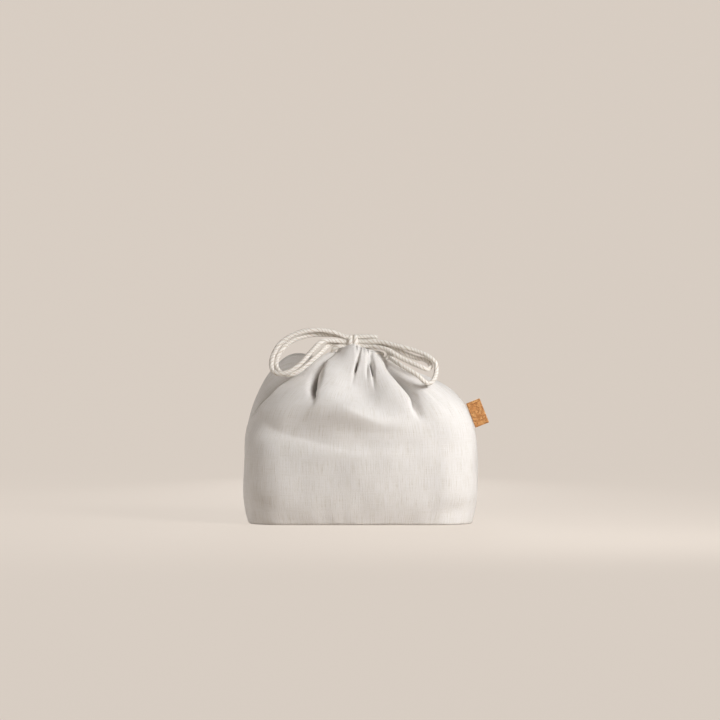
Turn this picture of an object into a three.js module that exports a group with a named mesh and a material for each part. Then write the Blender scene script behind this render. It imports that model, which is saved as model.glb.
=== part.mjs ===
// Drawstring lunch bag, drawn shut and tied with a bow.
// Two cloth panels are sewn together at the sides and to an oblong base. The hem at the top is a channel for
// two drawcords. Each cord leaves the channel through the slit at its own side, and the four ends meet in
// the bow. A folded cork tag is sewn into the right side seam.
// Millimetres, +Z up, the front faces -Y. The origin is the middle of the base, on the surface it stands on.
import * as THREE from "three";

// Cloth body
const BAG_WIDTH = 204; // across the belly
const BAG_DEPTH = 112; // across the belly
const CORNER_RADIUS = 34; // plan corners of the belly
const BASE_INSET = 4; // the base is this much smaller than the belly, all round
const BASE_TURN = 2; // radius where the walls turn in to the base
const SHOULDER_HEIGHT = 60; // the walls lean in from here up
const NECK_TOP = 149; // top of the hem
const NECK_WIDTH = 44;
const NECK_DEPTH = 30;
const CLOTH = 1; // one layer of the heavy cloth
const SEAM_GAP = 0.3; // between neighbours that are sewn or tied together
const GATHER_SPREAD = 0.15; // how far the gathers leave the sides for the front and back
const FOLD_DEPTH = 12; // of the deepest fold in the gathered cloth
const BACK_LOBE_RISE = 22; // the slack cloth at the back left stands this much higher
const LEFT_FULLNESS = 0.35; // and leans in this much later
const LEFT_PUFF = 7; // the gathers at the left stand this much higher
const RIGHT_RISE = 4; // the right shoulder is this much fuller
const TENT_DROP = 0.2; // how straight the front and back run up to the hem; 0 is a round shoulder
const HEM_FLARE = 5; // the hem line is this much further out than the top of the hem
const SWEEP_PULL = 2.2; // how straight the gathered cloth arrives at the hem
const BINDING_WIDTH = 9; // tape over the raw edges inside
const BINDING_THICKNESS = 0.8;

// Cords
const CORD_DIAMETER = 4;
const CORD_CLEARANCE = 0.3; // round a cord in its channel
const CORD_SIDES = 8;
const WRAP_GAP = 0.5; // between the two wraps of the knot
const KNOT_X = -6.7; // the bow is tied a little left of the middle
const KNOT_Y = -3;
const KNOT_RISE = 7.5; // from the hem to the middle of the knot

// Cork tag
const TAG_LENGTH = 22.5; // along the seam
const TAG_REACH = 12.5; // out from the seam
const TAG_THICKNESS = 1.6; // both layers of the fold
const TAG_PRESSED = 0.16; // the same at the stitches, where they are pressed thin
const TAG_PRESS_REACH = 3; // from the stitches to the full thickness
const TAG_HEIGHT = 92.5; // of its middle above the base

// Sizes that follow from the ones above
const CORD_RADIUS = CORD_DIAMETER / 2;
const CHANNEL = CORD_DIAMETER + 2 * CORD_CLEARANCE;
const NECK_BOTTOM = NECK_TOP - 2 * CLOTH - 2 * CORD_DIAMETER - 3 * CORD_CLEARANCE;
const UPPER_CORD_Z = NECK_TOP - CLOTH - CORD_CLEARANCE - CORD_RADIUS;
const LOWER_CORD_Z = NECK_BOTTOM + CLOTH + CORD_CLEARANCE + CORD_RADIUS;
const SLIT_WIDTH = 3 * CORD_DIAMETER + 2 * CORD_CLEARANCE;
const SLIT_ANGLE = SLIT_WIDTH / NECK_DEPTH;
const KNOT = new THREE.Vector3(KNOT_X, KNOT_Y, NECK_TOP + KNOT_RISE);
const KNOT_FACE = CORD_DIAMETER + WRAP_GAP / 2; // from the middle of the knot to its left and right faces
const WRAP_RADIUS = CORD_DIAMETER + 0.2;

// Folds of the gathered cloth, from the hem down. Each point of a line has the height up the cloth, the
// place round the girth as a fraction from the right seam by way of the back, and the depth as a share of
// the deepest fold. Ridges have a depth below zero. "before" and "after" are how far a fold reaches along
// the girth.
const FOLDS = [
  // the deep folds left and right of the middle
  {
    line: [
      [0.9, 0.611, 0], [0.86, 0.619, 0.65], [0.814, 0.626, 0.85], [0.736, 0.646, 0.9],
      [0.665, 0.653, 0.75], [0.605, 0.652, 0.35], [0.52, 0.648, 0],
    ],
    before: 15,
    after: 4.5,
  },
  {
    line: [
      [0.9, 0.849, 0], [0.863, 0.843, 0.65], [0.813, 0.844, 0.95], [0.736, 0.844, 1],
      [0.688, 0.846, 0.9], [0.622, 0.844, 0.7], [0.538, 0.847, 0.33], [0.44, 0.862, 0],
    ],
    before: 4.5,
    after: 14,
  },
  // the edges of the gathers between them, which stand proud
  {
    line: [
      [0.9, 0.636, 0], [0.86, 0.644, -0.3], [0.82, 0.652, -0.42], [0.76, 0.668, -0.42],
      [0.7, 0.675, -0.33], [0.62, 0.675, -0.17], [0.55, 0.67, 0],
    ],
    before: 4.5,
    after: 16,
  },
  {
    line: [
      [0.9, 0.833, 0], [0.86, 0.826, -0.28], [0.8, 0.827, -0.38], [0.72, 0.827, -0.38],
      [0.65, 0.829, -0.33], [0.58, 0.831, -0.2], [0.5, 0.836, 0],
    ],
    before: 14,
    after: 4.5,
  },
  // the hollow under the gathers, the ridge that swings across it and the slack band over the lid of the box
  {
    line: [
      [0.8, 0.755, 0], [0.74, 0.758, 0.3], [0.69, 0.762, 0.4], [0.64, 0.766, 0.3],
      [0.57, 0.77, 0],
    ],
    before: 12,
    after: 12,
  },
  {
    line: [
      [0.8, 0.64, 0], [0.711, 0.68, -0.2], [0.622, 0.713, -0.25], [0.568, 0.74, -0.2],
      [0.472, 0.78, -0.08], [0.42, 0.79, 0],
    ],
    before: 18,
    after: 12,
  },
  {
    line: [
      [0.55, 0.57, 0], [0.455, 0.625, 0.25], [0.416, 0.65, 0.28], [0.375, 0.685, 0.27],
      [0.314, 0.74, 0.07], [0.29, 0.77, 0],
    ],
    before: 18,
    after: 26,
  },
  // the tucks at the side seams, and the ridge in front of the left one
  {
    line: [
      [0.9, 1, 0.1], [0.83, 1, 0.33], [0.75, 1, 0.3], [0.66, 1, 0.17],
      [0.56, 1, 0],
    ],
    before: 9,
    after: 9,
  },
  {
    line: [
      [0.9, 0.481, 0], [0.85, 0.483, 0.5], [0.8, 0.495, 0.8], [0.74, 0.514, 1],
      [0.66, 0.528, 0.9], [0.58, 0.524, 0.5], [0.5, 0.515, 0.12], [0.44, 0.51, 0],
    ],
    before: 13,
    after: 7,
  },
  {
    line: [
      [0.88, 0.51, 0], [0.8, 0.526, -0.12], [0.741, 0.546, -0.2], [0.663, 0.56, -0.2],
      [0.58, 0.553, -0.17], [0.5, 0.553, 0],
    ],
    before: 5,
    after: 9,
  },
  // the folds at the back
  {
    line: [
      [0.9, 0.153, 0], [0.86, 0.156, 0.55], [0.78, 0.163, 0.66], [0.68, 0.166, 0.54],
      [0.56, 0.168, 0.17], [0.5, 0.17, 0],
    ],
    before: 12,
    after: 5,
  },
  {
    line: [
      [0.9, 0.315, 0], [0.86, 0.313, 0.55], [0.78, 0.311, 0.66], [0.68, 0.31, 0.5],
      [0.58, 0.309, 0.17], [0.5, 0.308, 0],
    ],
    before: 5,
    after: 13,
  },
  {
    line: [[0.9, 0.379, 0], [0.85, 0.382, 0.4], [0.76, 0.386, 0.25], [0.68, 0.388, 0]],
    before: 6,
    after: 6,
  },
  {
    line: [[0.9, 0.099, 0], [0.85, 0.096, 0.4], [0.76, 0.092, 0.25], [0.68, 0.09, 0]],
    before: 6,
    after: 6,
  },
];

const linen = new THREE.MeshStandardMaterial({ name: "linen", color: 0xe6e0d8, roughness: 0.95 });
const binding = new THREE.MeshStandardMaterial({ name: "binding", color: 0xdcd5cb, roughness: 0.95 });
const cotton = new THREE.MeshStandardMaterial({ name: "cotton_cord", color: 0xe4dacb, roughness: 0.9 });
const cork = new THREE.MeshStandardMaterial({ name: "cork", color: 0xd29a62, roughness: 0.85 });

const bag = new THREE.Group();
bag.name = "drawstring_lunch_bag";

function add(name, geometry, material) {
  const mesh = new THREE.Mesh(geometry, material.clone());
  mesh.name = name;
  bag.add(mesh);
}

function mix(a, b, f) {
  return a + (b - a) * f;
}

function bezier(a, b, c, d, f) {
  const g = 1 - f;
  return a * g * g * g + 3 * b * g * g * f + 3 * c * g * f * f + d * f * f * f;
}

// Point on the rounded oblong of the belly, moved in by inset, at fraction s of its length.
function beltPoint(s, inset) {
  const halfWidth = BAG_WIDTH / 2 - inset;
  const halfDepth = BAG_DEPTH / 2 - inset;
  const radius = CORNER_RADIUS - inset;
  const side = halfDepth - radius;
  const arc = (Math.PI / 2) * radius;
  const quarter = side + arc + halfWidth - radius;
  const turns = s - Math.floor(s);
  const back = turns < 0.5;
  const half = back ? turns : 1 - turns;
  const right = half < 0.25;
  const along = (right ? half : 0.5 - half) * 4 * quarter;
  let x = halfWidth;
  let y = along;
  if (along > side + arc) {
    x = halfWidth - radius - (along - side - arc);
    y = halfDepth;
  } else if (along > side) {
    const angle = (along - side) / radius;
    x = halfWidth - radius + radius * Math.cos(angle);
    y = side + radius * Math.sin(angle);
  }
  return new THREE.Vector2(right ? x : -x, back ? y : -y);
}

// Point of the oval neck, moved in by depth along its own normal.
function neckPoint(angle, depth) {
  const a = NECK_WIDTH / 2;
  const b = NECK_DEPTH / 2;
  const normal = new THREE.Vector2(Math.cos(angle) / a, Math.sin(angle) / b).normalize();
  return new THREE.Vector2(a * Math.cos(angle) - depth * normal.x, b * Math.sin(angle) - depth * normal.y);
}

function neckAngle(s) {
  return 2 * Math.PI * s - GATHER_SPREAD * Math.sin(4 * Math.PI * s);
}

// How near a place round the girth is to another one: 1 at the middle, falling to 0 beyond the width.
function nearness(s, middle, width, power) {
  const away = s - middle - Math.round(s - middle);
  return Math.exp(-(Math.abs(away / width) ** power));
}

// The cloth from the base up, in three stages: turn, wall and shoulder.
const TURN_END = 0.06;
const WALL_END = 0.3;
const SHOULDER_END = 0.9;
const SWEEP_START = 0.72; // from here the cloth runs in one sweep to the top of the hem
const SLIT_START = 0.86; // from here the panels part at the sides
const SLIT_OPEN = 0.93; // and here the slits have their full width

function profile(s, v) {
  if (v < TURN_END) {
    const angle = (v / TURN_END) * (Math.PI / 2);
    const inset = BASE_INSET + BASE_TURN * (1 - Math.sin(angle));
    return { inset, lean: 0, shoulder: 0, z: BASE_TURN * (1 - Math.cos(angle)) };
  }
  if (v < WALL_END) {
    const f = (v - TURN_END) / (WALL_END - TURN_END);
    return { inset: BASE_INSET * (1 - f) ** 2, lean: 0, shoulder: 0, z: mix(BASE_TURN, SHOULDER_HEIGHT, f) };
  }
  const f = (v - WALL_END) / (SHOULDER_END - WALL_END);
  const tent = nearness(s, 0.735, 0.105, 4) + nearness(s, 0.24, 0.12, 4);
  const rise = NECK_BOTTOM - SHOULDER_HEIGHT;
  const z = SHOULDER_HEIGHT + rise * bezier(0, 0.48, 0.78 - TENT_DROP * tent, 1, f);
  return { inset: 0, lean: bezier(0, 0, 0.22, 1, f), shoulder: f, z };
}

function bodyPoint(s, v) {
  const { inset, lean, shoulder, z } = profile(s, v);
  const low = beltPoint(s, inset);
  const high = neckPoint(neckAngle(s), 0);
  const lobe = BACK_LOBE_RISE * nearness(s, 0.43, 0.07, 2) * Math.sin(Math.PI * shoulder ** 2.6);
  const full = RIGHT_RISE * nearness(s, 0, 0.1, 2) * Math.sin(Math.PI * shoulder ** 1.3);
  const inwards = lean * (1 - LEFT_FULLNESS * nearness(s, 0.43, 0.1, 2) * (1 - lean));
  return new THREE.Vector3(mix(low.x, high.x, inwards), mix(low.y, high.y, inwards), z + lobe + full);
}

// The body, and above its shoulders a cubic sweep that leaves along the body and arrives along the hem.
function smoothPoint(s, v) {
  if (v <= SWEEP_START) {
    return bodyPoint(s, v);
  }
  const span = 1 - SWEEP_START;
  const t = (v - SWEEP_START) / span;
  const start = bodyPoint(s, SWEEP_START);
  const leave = start.clone().sub(bodyPoint(s, SWEEP_START - 0.01)).multiplyScalar(span / 0.01);
  const hemTop = neckPoint(neckAngle(s), 0);
  const hemLine = neckPoint(neckAngle(s), -HEM_FLARE);
  const top = new THREE.Vector3(hemTop.x, hemTop.y, NECK_TOP - CLOTH - SEAM_GAP);
  const under = new THREE.Vector3(hemLine.x, hemLine.y, NECK_BOTTOM);
  const arrive = top.clone().sub(under).multiplyScalar(SWEEP_PULL);
  const point = start.multiplyScalar(2 * t ** 3 - 3 * t ** 2 + 1);
  point.addScaledVector(leave, t ** 3 - 2 * t ** 2 + t);
  point.addScaledVector(top, 3 * t ** 2 - 2 * t ** 3);
  point.addScaledVector(arrive, t ** 3 - t ** 2);
  point.z += LEFT_PUFF * nearness(s, 0.535, 0.06, 2) * 6.75 * t ** 2 * (1 - t);
  return point;
}

// Outward normal of a surface given by a function of s and v.
function normalOf(surface, s, v) {
  const along = surface(s + 0.002, v).sub(surface(s - 0.002, v));
  const up = surface(s, Math.min(v + 0.004, 1)).sub(surface(s, Math.max(v - 0.004, 0)));
  return along.cross(up).normalize();
}

// Millimetres for a whole turn of the girth at a place on the cloth.
function stretchAt(s, v) {
  return smoothPoint(s + 0.002, v).distanceTo(smoothPoint(s - 0.002, v)) / 0.004;
}

// Place and depth of a fold at a height up the cloth.
function foldAt(line, v) {
  const below = line.findIndex((point) => point[0] <= v);
  if (below < 1) {
    return [line[0][1], below ? 0 : line[0][2]];
  }
  const [low, high] = [line[below], line[below - 1]];
  const f = (v - low[0]) / (high[0] - low[0]);
  return [mix(low[1], high[1], f), mix(low[2], high[2], f)];
}

function foldDepth(s, v) {
  const stretch = stretchAt(s, v);
  let depth = 0;
  for (const fold of FOLDS) {
    const [place, share] = foldAt(fold.line, v);
    const away = (s - place - Math.round(s - place)) * stretch;
    const reach = away < 0 ? fold.before : fold.after;
    depth += FOLD_DEPTH * share * Math.exp(-(Math.abs(away / reach) ** 1.7));
  }
  return depth;
}

function clothPoint(s, v) {
  return smoothPoint(s, v).addScaledVector(normalOf(smoothPoint, s, v), -foldDepth(s, v));
}

function layerPoint(s, v, depth) {
  const point = clothPoint(s, v);
  if (depth > 0) {
    point.addScaledVector(normalOf(clothPoint, s, v), -depth);
  }
  return point;
}

// Closed solid between an outer and an inner grid of points, given by point(i, j, layer). Layer 0 is outside.
function sheetSolid(columns, rows, point) {
  const positions = [];
  const indices = [];
  for (let layer = 0; layer < 2; layer++) {
    for (let j = 0; j <= rows; j++) {
      for (let i = 0; i <= columns; i++) {
        positions.push(...point(i, j, layer).toArray());
      }
    }
  }
  const inner = (columns + 1) * (rows + 1);
  const at = (i, j) => j * (columns + 1) + i;
  const quad = (a, b, c, d) => indices.push(a, b, c, a, c, d);
  for (let j = 0; j < rows; j++) {
    for (let i = 0; i < columns; i++) {
      quad(at(i, j), at(i + 1, j), at(i + 1, j + 1), at(i, j + 1));
      quad(inner + at(i, j), inner + at(i, j + 1), inner + at(i + 1, j + 1), inner + at(i + 1, j));
    }
  }
  for (let i = 0; i < columns; i++) {
    quad(at(i, 0), inner + at(i, 0), inner + at(i + 1, 0), at(i + 1, 0));
    quad(at(i, rows), at(i + 1, rows), inner + at(i + 1, rows), inner + at(i, rows));
  }
  for (let j = 0; j < rows; j++) {
    quad(at(0, j), at(0, j + 1), inner + at(0, j + 1), inner + at(0, j));
    quad(at(columns, j), inner + at(columns, j), inner + at(columns, j + 1), at(columns, j + 1));
  }
  const geometry = new THREE.BufferGeometry();
  geometry.setAttribute("position", new THREE.Float32BufferAttribute(positions, 3));
  geometry.setIndex(indices);
  geometry.computeVertexNormals();
  return geometry;
}

// Rows of a panel: close together where the cloth bends.
const PANEL_COLUMNS = 50;
const WALL_ROWS = [0, 0.03, 0.06, 0.18, 0.3];
const SHOULDER_ROWS = [0.36, 0.42, 0.48, 0.54, 0.6, 0.655, 0.7, 0.74, 0.78, 0.82, 0.86];
const NECK_ROWS = [0.88, 0.895, 0.91, 0.93, 0.965, 1];
const PANEL_ROWS = [...WALL_ROWS, ...SHOULDER_ROWS, ...NECK_ROWS];

// Half of the gap between the panels at a side, sewn or slit, as a fraction of the girth at that height.
function seamEdge(v) {
  const slit = neckFraction(SLIT_ANGLE);
  return mix(SEAM_GAP / 2 / stretchAt(0, v), slit, THREE.MathUtils.smoothstep(v, SLIT_START, SLIT_OPEN));
}

// The fraction of the girth that lands at an angle of the neck, near the right seam.
function neckFraction(angle) {
  let s = 0;
  for (let step = 0; step < 40; step++) {
    s += (angle - neckAngle(s)) / (2 * Math.PI);
  }
  return s;
}

function panel(start) {
  return sheetSolid(PANEL_COLUMNS, PANEL_ROWS.length - 1, (i, j, layer) => {
    const v = PANEL_ROWS[j];
    const edge = seamEdge(v);
    const s = start + mix(edge, 0.5 - edge, i / PANEL_COLUMNS);
    return layerPoint(s, v, layer * CLOTH);
  });
}

add("front_panel", panel(0.5), linen);
add("back_panel", panel(0), linen);

// Base, and the binding over its seam.
const BASE_EDGE = BASE_INSET + BASE_TURN + 2 * SEAM_GAP;

function beltShape(inset, reverse) {
  const points = [];
  for (let i = 0; i < 72; i++) {
    points.push(beltPoint(i / 72, inset));
  }
  return reverse ? points.reverse() : points;
}

function plate(shape, bottom, thickness) {
  const geometry = new THREE.ExtrudeGeometry(shape, { depth: thickness, bevelEnabled: false });
  geometry.translate(0, 0, bottom);
  return geometry;
}

add("base_panel", plate(new THREE.Shape(beltShape(BASE_EDGE, false)), 0, CLOTH), linen);
const ringShape = new THREE.Shape(beltShape(BASE_EDGE, false));
ringShape.holes.push(new THREE.Path(beltShape(BASE_EDGE + BINDING_WIDTH, true)));
add("base_binding", plate(ringShape, CLOTH + SEAM_GAP, BINDING_THICKNESS), binding);

// Binding tapes up the side seams, on the inside.
const TAPE_ROWS = [0.1, ...PANEL_ROWS.filter((v) => v > 0.1 && v < SWEEP_START)];

function seamTape(seam) {
  return sheetSolid(4, TAPE_ROWS.length - 1, (i, j, layer) => {
    const v = TAPE_ROWS[j];
    const s = seam + ((i / 4 - 0.5) * BINDING_WIDTH) / stretchAt(seam, v);
    return layerPoint(s, v, CLOTH + 3 * SEAM_GAP + layer * BINDING_THICKNESS);
  });
}

add("right_seam_binding", seamTape(0), binding);
add("left_seam_binding", seamTape(0.5), binding);

// The hem is turned in as a channel: a roof, an inner wall and a floor that is sewn to the panel.
const CHANNEL_IN = CLOTH + CHANNEL;
const CHANNEL_SECTION = [
  new THREE.Vector2(0, NECK_TOP),
  new THREE.Vector2(0, NECK_TOP - CLOTH),
  new THREE.Vector2(CHANNEL_IN, NECK_TOP - CLOTH),
  new THREE.Vector2(CHANNEL_IN, NECK_BOTTOM + CLOTH),
  new THREE.Vector2(CLOTH + 2 * SEAM_GAP - HEM_FLARE, NECK_BOTTOM + CLOTH),
  new THREE.Vector2(CLOTH + 2 * SEAM_GAP - HEM_FLARE, NECK_BOTTOM),
  new THREE.Vector2(CHANNEL_IN + CLOTH, NECK_BOTTOM),
  new THREE.Vector2(CHANNEL_IN + CLOTH, NECK_TOP),
];

function casing(from, to) {
  const steps = 24;
  const count = CHANNEL_SECTION.length;
  const positions = [];
  const indices = [];
  for (let i = 0; i <= steps; i++) {
    for (const corner of CHANNEL_SECTION) {
      const place = neckPoint(mix(from, to, i / steps), corner.x);
      positions.push(place.x, place.y, corner.y);
    }
  }
  for (let i = 0; i < steps; i++) {
    for (let k = 0; k < count; k++) {
      const a = i * count + k;
      const b = i * count + ((k + 1) % count);
      indices.push(a, b, b + count, a, b + count, a + count);
    }
  }
  for (const [a, b, c] of THREE.ShapeUtils.triangulateShape(CHANNEL_SECTION, [])) {
    const last = steps * count;
    indices.push(a, c, b, last + a, last + b, last + c);
  }
  const geometry = new THREE.BufferGeometry();
  geometry.setAttribute("position", new THREE.Float32BufferAttribute(positions, 3));
  geometry.setIndex(indices);
  geometry.computeVertexNormals();
  return geometry;
}

add("front_casing", casing(Math.PI + SLIT_ANGLE, 2 * Math.PI - SLIT_ANGLE), linen);
add("back_casing", casing(SLIT_ANGLE, Math.PI - SLIT_ANGLE), linen);

// Cords: a plain round tube along a curve.
function tube(curve, steps) {
  const section = new THREE.Shape();
  for (let k = 0; k < CORD_SIDES; k++) {
    const angle = (2 * Math.PI * k) / CORD_SIDES;
    section[k ? "lineTo" : "moveTo"](CORD_RADIUS * Math.cos(angle), CORD_RADIUS * Math.sin(angle));
  }
  section.closePath();
  return new THREE.ExtrudeGeometry(section, { steps, bevelEnabled: false, extrudePath: curve });
}

function route(points) {
  return new THREE.CatmullRomCurve3(points, false, "centripetal");
}

// The stretch of a drawcord inside the hem, from one side of its slit round to the other.
class ChannelCurve extends THREE.Curve {
  constructor(slit, z) {
    super();
    this.slit = slit;
    this.z = z;
  }

  getPoint(t, target = new THREE.Vector3()) {
    const angle = this.slit + mix(SLIT_ANGLE, 2 * Math.PI - SLIT_ANGLE, t);
    const place = neckPoint(angle, CLOTH + CORD_CLEARANCE + CORD_RADIUS);
    return target.set(place.x, place.y, this.z);
  }
}

const leftChannel = new ChannelCurve(Math.PI, UPPER_CORD_Z);
const rightChannel = new ChannelCurve(0, LOWER_CORD_Z);
add("left_drawcord", tube(leftChannel, 30), cotton);
add("right_drawcord", tube(rightChannel, 30), cotton);

// Hand-placed points of the free cords, from the middle of the knot.
function fromKnot(points) {
  return points.map(([x, y, z]) => new THREE.Vector3(x, y, z).add(KNOT));
}

// A cord meets the left (-1) or right (1) face of the knot square on. The two points run towards the knot.
function intoKnot(side, y, z) {
  const face = KNOT_FACE + SEAM_GAP;
  return fromKnot([[side * (face + CORD_RADIUS), y, z], [side * face, y, z]]);
}

function outOfKnot(side, y, z) {
  return intoKnot(side, y, z).reverse();
}

// A lead runs from the end of its drawcord at the slit up to the knot.
function lead(channel, end, points, ending) {
  const start = channel.getPoint(end);
  const ahead = channel.getTangent(end).multiplyScalar(end ? 1 : -1);
  const first = start.clone().addScaledVector(ahead, SEAM_GAP);
  const second = start.clone().addScaledVector(ahead, SEAM_GAP + CORD_RADIUS);
  return route([first, second, ...fromKnot(points), ...ending]);
}

const leftLeadFront = [[-10.5, 2.9, -6.1], [-10.5, 5.7, -3.6], [-9, 6.7, -1.2]];
const leftLeadBack = [[-15.8, 3.9, -10.7], [-17.3, 0.6, -8.9], [-16.4, -2.4, -6], [-12.3, -3.2, -4.2]];
const rightLeadFront = [
  [28.9, 0.8, -14.4],
  [31.7, 2.1, -11.5],
  [32.5, 4, -7.9],
  [30, 5.8, -4.9],
  [23.2, 6.6, -2.5],
  [13.7, 6.6, -0.5],
];
const rightLeadBack = [
  [28.9, 5.5, -14.4],
  [31.7, 7.3, -12],
  [32.2, 10.5, -7.5],
  [28.7, 11.6, -3],
  [20.7, 11, 0.5],
  [11.7, 8.8, 3.5],
];
add("left_lead_front", tube(lead(leftChannel, 0, leftLeadFront, intoKnot(-1, 6.6, 0.1)), 8), cotton);
add("left_lead_back", tube(lead(leftChannel, 1, leftLeadBack, intoKnot(-1, -2.2, -4.2)), 12), cotton);
add("right_lead_front", tube(lead(rightChannel, 1, rightLeadFront, intoKnot(1, 6.6, 0.1)), 12), cotton);
add("right_lead_back", tube(lead(rightChannel, 0, rightLeadBack, intoKnot(1, 6.6, 4.4)), 12), cotton);

// The knot: two wraps over the strands that cross inside it.
class WrapCurve extends THREE.Curve {
  constructor(x) {
    super();
    this.x = x;
    this.leg = KNOT_RISE - CORD_RADIUS + SEAM_GAP;
  }

  getPoint(t, target = new THREE.Vector3()) {
    const arc = Math.PI * WRAP_RADIUS;
    const along = t * (arc + 2 * this.leg);
    let y = -WRAP_RADIUS;
    let z = along - this.leg;
    if (along > this.leg + arc) {
      y = WRAP_RADIUS;
      z = this.leg + arc - along;
    } else if (along > this.leg) {
      const angle = (along - this.leg) / WRAP_RADIUS;
      y = -WRAP_RADIUS * Math.cos(angle);
      z = WRAP_RADIUS * Math.sin(angle);
    }
    return target.set(this.x, y, z).add(KNOT);
  }
}

const wrapPitch = (CORD_DIAMETER + WRAP_GAP) / 2;
add("knot_wrap_left", tube(new WrapCurve(-wrapPitch), 14), cotton);
add("knot_wrap_right", tube(new WrapCurve(wrapPitch), 14), cotton);
const coreRadius = WRAP_RADIUS - CORD_RADIUS - SEAM_GAP;
const core = new THREE.CylinderGeometry(coreRadius, coreRadius, 2 * KNOT_FACE, 12);
core.rotateZ(Math.PI / 2);
core.translate(KNOT.x, KNOT.y, KNOT.z);
add("knot_core", core, cotton);

// The loops of the bow, two cords side by side in each.
const leftLoopOuter = [
  [-14.6, -3, 7.6],
  [-25, -4, 9.8],
  [-36.2, -6, 10],
  [-47.4, -8, 7.6],
  [-57.3, -11, 2.8],
  [-64.5, -14, -3.7],
  [-68.6, -17, -11.5],
  [-70.1, -21, -19.2],
  [-68.5, -24, -25.3],
  [-63.3, -27, -27.8],
  [-56.4, -27, -26.5],
  [-49.6, -25, -22.7],
  [-42.8, -22, -16.7],
  [-36, -17, -8.9],
  [-30, -12, -2.4],
  [-24.9, -8, 0.7],
  [-17.2, -4.5, 1],
];
const leftLoopInner = [
  [-14.6, 3, 5.9],
  [-25, 2, 6.4],
  [-36.3, 0, 5.9],
  [-46.7, -3, 3.3],
  [-55.3, -6, -1.1],
  [-62.1, -10, -8],
  [-65.4, -14, -15.4],
  [-65.7, -18, -21.4],
  [-62.6, -21.5, -26.1],
  [-55.6, -22.8, -28.6],
  [-47.9, -22, -26.4],
  [-40.3, -19, -20.8],
  [-32.6, -13.5, -14],
  [-26.6, -7.5, -8.3],
  [-20.6, -1, -2.6],
  [-13.7, 1.5, -0.6],
];
const rightLoopOuter = [
  [11.5, -3, 0.1],
  [23.6, -6, -0.3],
  [35.7, -10, -2.9],
  [46.9, -14, -5.9],
  [58, -18, -9.3],
  [65.6, -22, -13.2],
  [70.7, -25, -17.8],
  [71.8, -28, -22.9],
  [71, -31, -28.9],
  [68.3, -33.5, -34],
  [65.3, -35, -35.9],
  [61.6, -35.5, -34.2],
  [56.3, -34.5, -29.5],
  [50.4, -32, -25.6],
  [43, -28, -21.4],
  [37, -20.5, -17.5],
  [33, -14.3, -14.3],
  [32, -9, -11.2],
  [29.6, -6.8, -7.2],
  [24.5, -3.6, -4.5],
  [19.5, -1.2, -4.6],
  [12.7, 1, -4.3],
];
const rightLoopInner = [
  [11.5, 1.8, -0.2],
  [21, -0.4, -0.1],
  [32.3, -4.4, -3.4],
  [43.5, -9, -9.5],
  [54.6, -13, -14.1],
  [62.1, -16, -15.5],
  [66.1, -19.5, -18.6],
  [66.9, -23, -22.1],
  [63.8, -25.5, -23.5],
  [57, -25.5, -21],
  [47.6, -21, -17.1],
  [38.2, -16, -12.2],
  [28.7, -11, -6.4],
  [22.7, -7.8, -5.1],
  [16.7, -4.8, -4.3],
];

function loop(side, points, start, end) {
  return route([...outOfKnot(side, ...start), ...fromKnot(points), ...intoKnot(side, ...end)]);
}

add("left_loop_outer", tube(loop(-1, leftLoopOuter, [-2.2, 4.4], [-2.2, 0.1]), 26), cotton);
add("left_loop_inner", tube(loop(-1, leftLoopInner, [2.2, 4.4], [2.2, 0.1]), 26), cotton);
add("right_loop_outer", tube(loop(1, rightLoopOuter, [-2.2, 0.1], [2.2, -4.2]), 28), cotton);
add("right_loop_inner", tube(loop(1, rightLoopInner, [2.2, 0.1], [-2.2, -4.2]), 26), cotton);

// The cut end of the cord that sticks out over the right loop.
const tailPoints = [[13, 0, 4.7], [21.5, 0, 4]];
add("cord_tail", tube(route([...outOfKnot(1, 0, 4.4), ...fromKnot(tailPoints)]), 4), cotton);

// Cork tag: a folded strip that is pressed thin where the right side seam holds it. It stands out square to
// the slope of the seam.
function seamRow(height) {
  let low = TURN_END;
  let high = SHOULDER_END;
  for (let step = 0; step < 40; step++) {
    const middle = (low + high) / 2;
    if (clothPoint(0, middle).z < height) {
      low = middle;
    } else {
      high = middle;
    }
  }
  return low;
}

const tagRow = seamRow(TAG_HEIGHT);
const tagOut = normalOf(clothPoint, 0, tagRow);
const tagRadius = TAG_THICKNESS / 2;
const tagShape = new THREE.Shape();
tagShape.moveTo(0, -TAG_PRESSED / 2);
tagShape.lineTo(TAG_PRESS_REACH, -tagRadius);
tagShape.absarc(TAG_REACH - tagRadius, 0, tagRadius, -Math.PI / 2, Math.PI / 2, false);
tagShape.lineTo(TAG_PRESS_REACH, tagRadius);
tagShape.lineTo(0, TAG_PRESSED / 2);
tagShape.closePath();
const tag = new THREE.ExtrudeGeometry(tagShape, { depth: TAG_LENGTH, bevelEnabled: false, curveSegments: 5 });
tag.translate(SEAM_GAP, 0, -TAG_LENGTH / 2);
const tagFrame = new THREE.Matrix4().makeBasis(
  tagOut,
  new THREE.Vector3(0, 1, 0),
  new THREE.Vector3().crossVectors(tagOut, new THREE.Vector3(0, 1, 0)),
);
tag.applyMatrix4(tagFrame.setPosition(clothPoint(0, tagRow)));
add("cork_tag", tag, cork);

export default bag;
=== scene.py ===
"""A cloth lunch bag, drawn shut and tied with a bow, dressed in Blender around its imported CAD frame.

Everything is in metres, in the frame of the CAD: +Z up, the front faces -Y, and the origin is the middle of the
base on the surface it stands on. A place on the cloth is given by two shares: the girth share runs once round from
the right side seam by way of the back, and the height share runs from the base seam to the top of the hem.
"""
import logging
import math
from dataclasses import dataclass
from enum import Enum

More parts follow.
